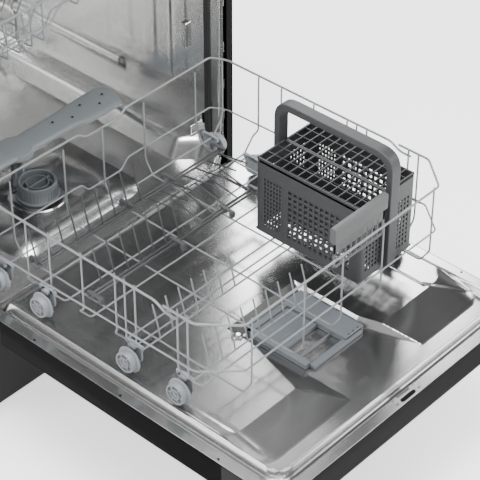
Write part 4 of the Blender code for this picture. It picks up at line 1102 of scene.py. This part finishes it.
def build_lids():
    """Two lids: a frame with twelve slats and two thin cross bars."""
    slats = 13
    for name in ("basket_lid_left", "basket_lid_right"):
        a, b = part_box(name)
        bm = bmesh.new()
        for x_low, x_high in ((a.x, a.x + 0.0026), (b.x - 0.0022, b.x)):
            box(bm, (x_low, a.y, a.z), (x_high, b.y, a.z + 0.0026))
        for y_low, y_high in ((a.y, a.y + 0.0024), (b.y - 0.0024, b.y)):
            box(bm, (a.x, y_low, a.z), (b.x, y_high, a.z + 0.0026))
        for step in range(1, slats):
            y = a.y + (b.y - a.y) * step / slats
            box(bm, (a.x + 0.001, y - 0.001, a.z + 0.0002), (b.x - 0.001, y + 0.001, a.z + 0.0024))
        for share in (0.36, 0.7):
            x = a.x + (b.x - a.x) * share
            box(bm, (x - 0.0007, a.y + 0.001, a.z + 0.0004), (x + 0.0007, b.y - 0.001, a.z + 0.002))
        from_bmesh(name + "_grid", bm, BASKET, name, [name], sharp=35)


def build_front_plate():
    """The lighter clip-on holder: a thick bar above a slotted plate."""
    low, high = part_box("basket_front_plate")
    left, right = low.x - 0.012, high.x
    top, bottom = high.z + 0.004, 0.468
    plate_low, plate_high = 0.4185, 0.472
    front, back = high.y - 0.0078, high.y - 0.0052
    outline = rounded(high.y - low.y, top - bottom, 0.004)
    bm = prism(bmesh.new(), shifted(outline, (low.y + high.y) / 2, (top + bottom) / 2), "X", left, right)
    for x_low, x_high, z_low, z_high in ((left + 0.001, left + 0.0075, plate_low, plate_high),
                                         (right - 0.0075, right - 0.001, plate_low, plate_high),
                                         (left + 0.001, right - 0.001, plate_low, 0.424),
                                         (left + 0.001, right - 0.001, 0.447, plate_high)):
        box(bm, (x_low, front, z_low), (x_high, back, z_high))
    slots = 9
    for step in range(1, slots):
        x = left + 0.006 + (right - left - 0.012) * step / slots
        box(bm, (x - 0.0017, front, 0.42), (x + 0.0017, back, 0.46))
    from_bmesh("basket_front_holder", bm, PLATE, "cutlery_basket",
               ["basket_front_plate"], bevel=0.0012)


# ---- upper rack ----
def build_upper_rack():
    """A wire rack whose left bay is lower than its right, with its rims and its runners."""
    half, front, back = 0.25, 0.092, 0.52
    rim_z, low_rim, low_bay, high_bay, step_x = 0.711, 0.667, 0.642, 0.674, -0.05
    cross_wires = 13
    runs = []
    for step in range(cross_wires):
        y = front + 0.02 + (back - front - 0.04) * step / (cross_wires - 1)
        path = [(-half, y, rim_z), (-half, y, low_bay), (step_x - 0.012, y, low_bay),
                (step_x + 0.008, y, high_bay), (half, y, high_bay), (half, y, rim_z)]
        runs.append((path, WIRE_R * 0.9, 0.006))
        if step % 2 == 0:
            for x in (-0.215, -0.175, -0.135, -0.095):
                runs.append(([(x, y, low_bay), (x, y + 0.01, low_bay + 0.045)], WIRE_R * 0.8, 0.01))
    y_low, y_high = front + 0.003, back - 0.003
    for x in (-0.225, -0.2, -0.175, -0.15, -0.125, -0.1, -0.075, 0.0, 0.056, 0.112, 0.168, 0.224):
        depth = (low_bay if x < step_x else high_bay) - 0.0025
        path = [(x, y_low, rim_z), (x, y_low, depth), (x, y_high, depth), (x, y_high, rim_z)]
        runs.append((path, WIRE_R * 0.9, 0.006))
    wires("upper_rack_wires", runs, WIRE, "upper_rack", ["upper_rack"])
    edge = half + 0.003
    seam = (edge, back - 0.1, rim_z)
    high_rim = low_rim + 0.027
    corners = ((edge, back), (-edge, back), (-edge, front), (edge, front))
    top_rim = [seam, *[(x, y, rim_z) for x, y in corners], seam]
    middle = [(-edge, back - 0.02, low_rim), (-edge, front, low_rim), (step_x - 0.012, front, low_rim),
              (step_x + 0.014, front, high_rim), (edge, front, high_rim), (edge, back - 0.02, high_rim)]
    runs = [(top_rim, RIM_R, 0.007), (middle, WIRE_R, 0.006)]
    wires("upper_rack_rims", runs, WIRE, "upper_rack")
    bm = bmesh.new()
    for sign in (-1, 1):
        slab(bm, (sign * 0.254, front + 0.032, 0.6815), (sign * 0.2708, back - 0.032, 0.6965))
    box(bm, (-0.011, 0.289, 0.6345), (0.011, 0.311, 0.672))
    from_bmesh("upper_rack_runners", bm, WHEEL, "upper_rack", bevel=0.002)


# ---- carried-over CAD pieces ----
def finish_cad_pieces():
    """Gives each CAD piece the material of its slot."""
    finishes = {
        "stainless": STEEL, "black_enamel": BLACK, "console_black": CONSOLE, "galvanised": GALVANISED,
        "ballast": IRON, "base_plastic": BASE, "seal_rubber": RUBBER, "coated_wire": WIRE,
        "tine_plastic": TINE, "wheel_plastic": WHEEL, "arm_plastic": ARM, "basket_plastic": BASKET,
        "basket_plate_plastic": PLATE, "filter_plastic": FILTER, "dispenser_plastic": DISPENSER,
        "motor_housing": MOTOR,
    }
    for part in frame["record"]["subparts"]:
        mesh = frame["nodes"][part["node"]].data
        mesh.materials.clear()
        mesh.materials.append(finishes[part["material_slot"]])


# ---- stage ----
def build_stage():
    """A plain pale floor."""
    bm = bmesh.new()
    bmesh.ops.create_grid(bm, x_segments=1, y_segments=1, size=14.0)
    floor = mesh_object("floor", bm)
    pale = bpy.data.materials.new("pale_floor")
    pale.use_nodes = True
    shader = pale.node_tree.nodes["Principled BSDF"]
    shader.inputs["Base Color"].default_value = (0.9, 0.9, 0.9, 1)
    shader.inputs["Roughness"].default_value = 0.9
    shader.inputs["Specular IOR Level"].default_value = 0.0
    shader.inputs["Emission Color"].default_value = (1, 1, 1, 1)
    shader.inputs["Emission Strength"].default_value = 1.25
    floor.data.materials.append(pale)


def softbox(name, place, aim, size, power):
    """A rectangular light aimed at a point."""
    data = bpy.data.lights.new(name, "AREA")
    data.shape = "RECTANGLE"
    data.size, data.size_y = size
    data.energy = power
    lamp = linked(name, data)
    lamp.location = place
    lamp.rotation_euler = (Vector(aim) - Vector(place)).to_track_quat("-Z", "Y").to_euler()


def build_lights():
    """Five soft lights, and a cloudy grey world for the steel to reflect."""
    softbox("overhead", (-0.6, -0.8, 3.2), (0, -0.1, 0.2), (2.4, 2.4), 150)
    softbox("back_panel_light", (2.6, 2.2, 2.6), (0, 0, 0.3), (2.0, 1.2), 90)
    softbox("left_panel", (-3.2, 1.0, 2.0), (0, 0, 0.3), (1.4, 2.2), 80)
    softbox("front_right", (2.4, -2.6, 2.0), (0, -0.3, 0.3), (1.6, 1.6), 70)
    softbox("into_tub", (-0.25, -0.55, 1.55), (0.05, 0.45, 0.3), (0.9, 0.6), 22)
    world = bpy.data.worlds.new("studio")
    bpy.context.scene.world = world
    world.use_nodes = True
    tree = world.node_tree
    back = tree.nodes["Background"]
    cloud = noise(tree, tree.nodes.new("ShaderNodeTexCoord").outputs["Generated"], 1.9, 1.5)
    shade = tree.nodes.new("ShaderNodeValToRGB")
    stops = shade.color_ramp.elements
    for stop, position, value in ((stops[0], 0.36, 0.05), (stops[1], 0.66, 1.0)):
        stop.position = position
        stop.color = (value, value, value, 1)
    for position, value in ((0.44, 0.34), (0.52, 0.6)):
        stops.new(position).color = (value, value, value, 1)
    tree.links.new(cloud, shade.inputs["Fac"])
    tree.links.new(shade.outputs["Color"], back.inputs["Color"])
    back.inputs["Strength"].default_value = 1.0


def build_camera():
    data = bpy.data.cameras.new("camera")
    data.lens = 140.56
    data.sensor_width = 36.0
    data.clip_end = 60
    camera = linked("camera", data)
    camera.location = (-1.7154, -1.8106, 2.1926)
    azimuth, pitch = radians(47.696), radians(37.961)
    level = cos(pitch)
    forward = Vector((level * sin(azimuth), level * cos(azimuth), -sin(pitch)))
    camera.rotation_euler = forward.to_track_quat("-Z", "Y").to_euler()
    bpy.context.scene.camera = camera


build_camera()
build_stage()
build_lights()
finish_cad_pieces()
build_door()
build_dispenser()
build_tub()
build_filter()
build_arms()
build_rack()
build_basket()
build_upper_rack()

bpy.context.view_layer.update()
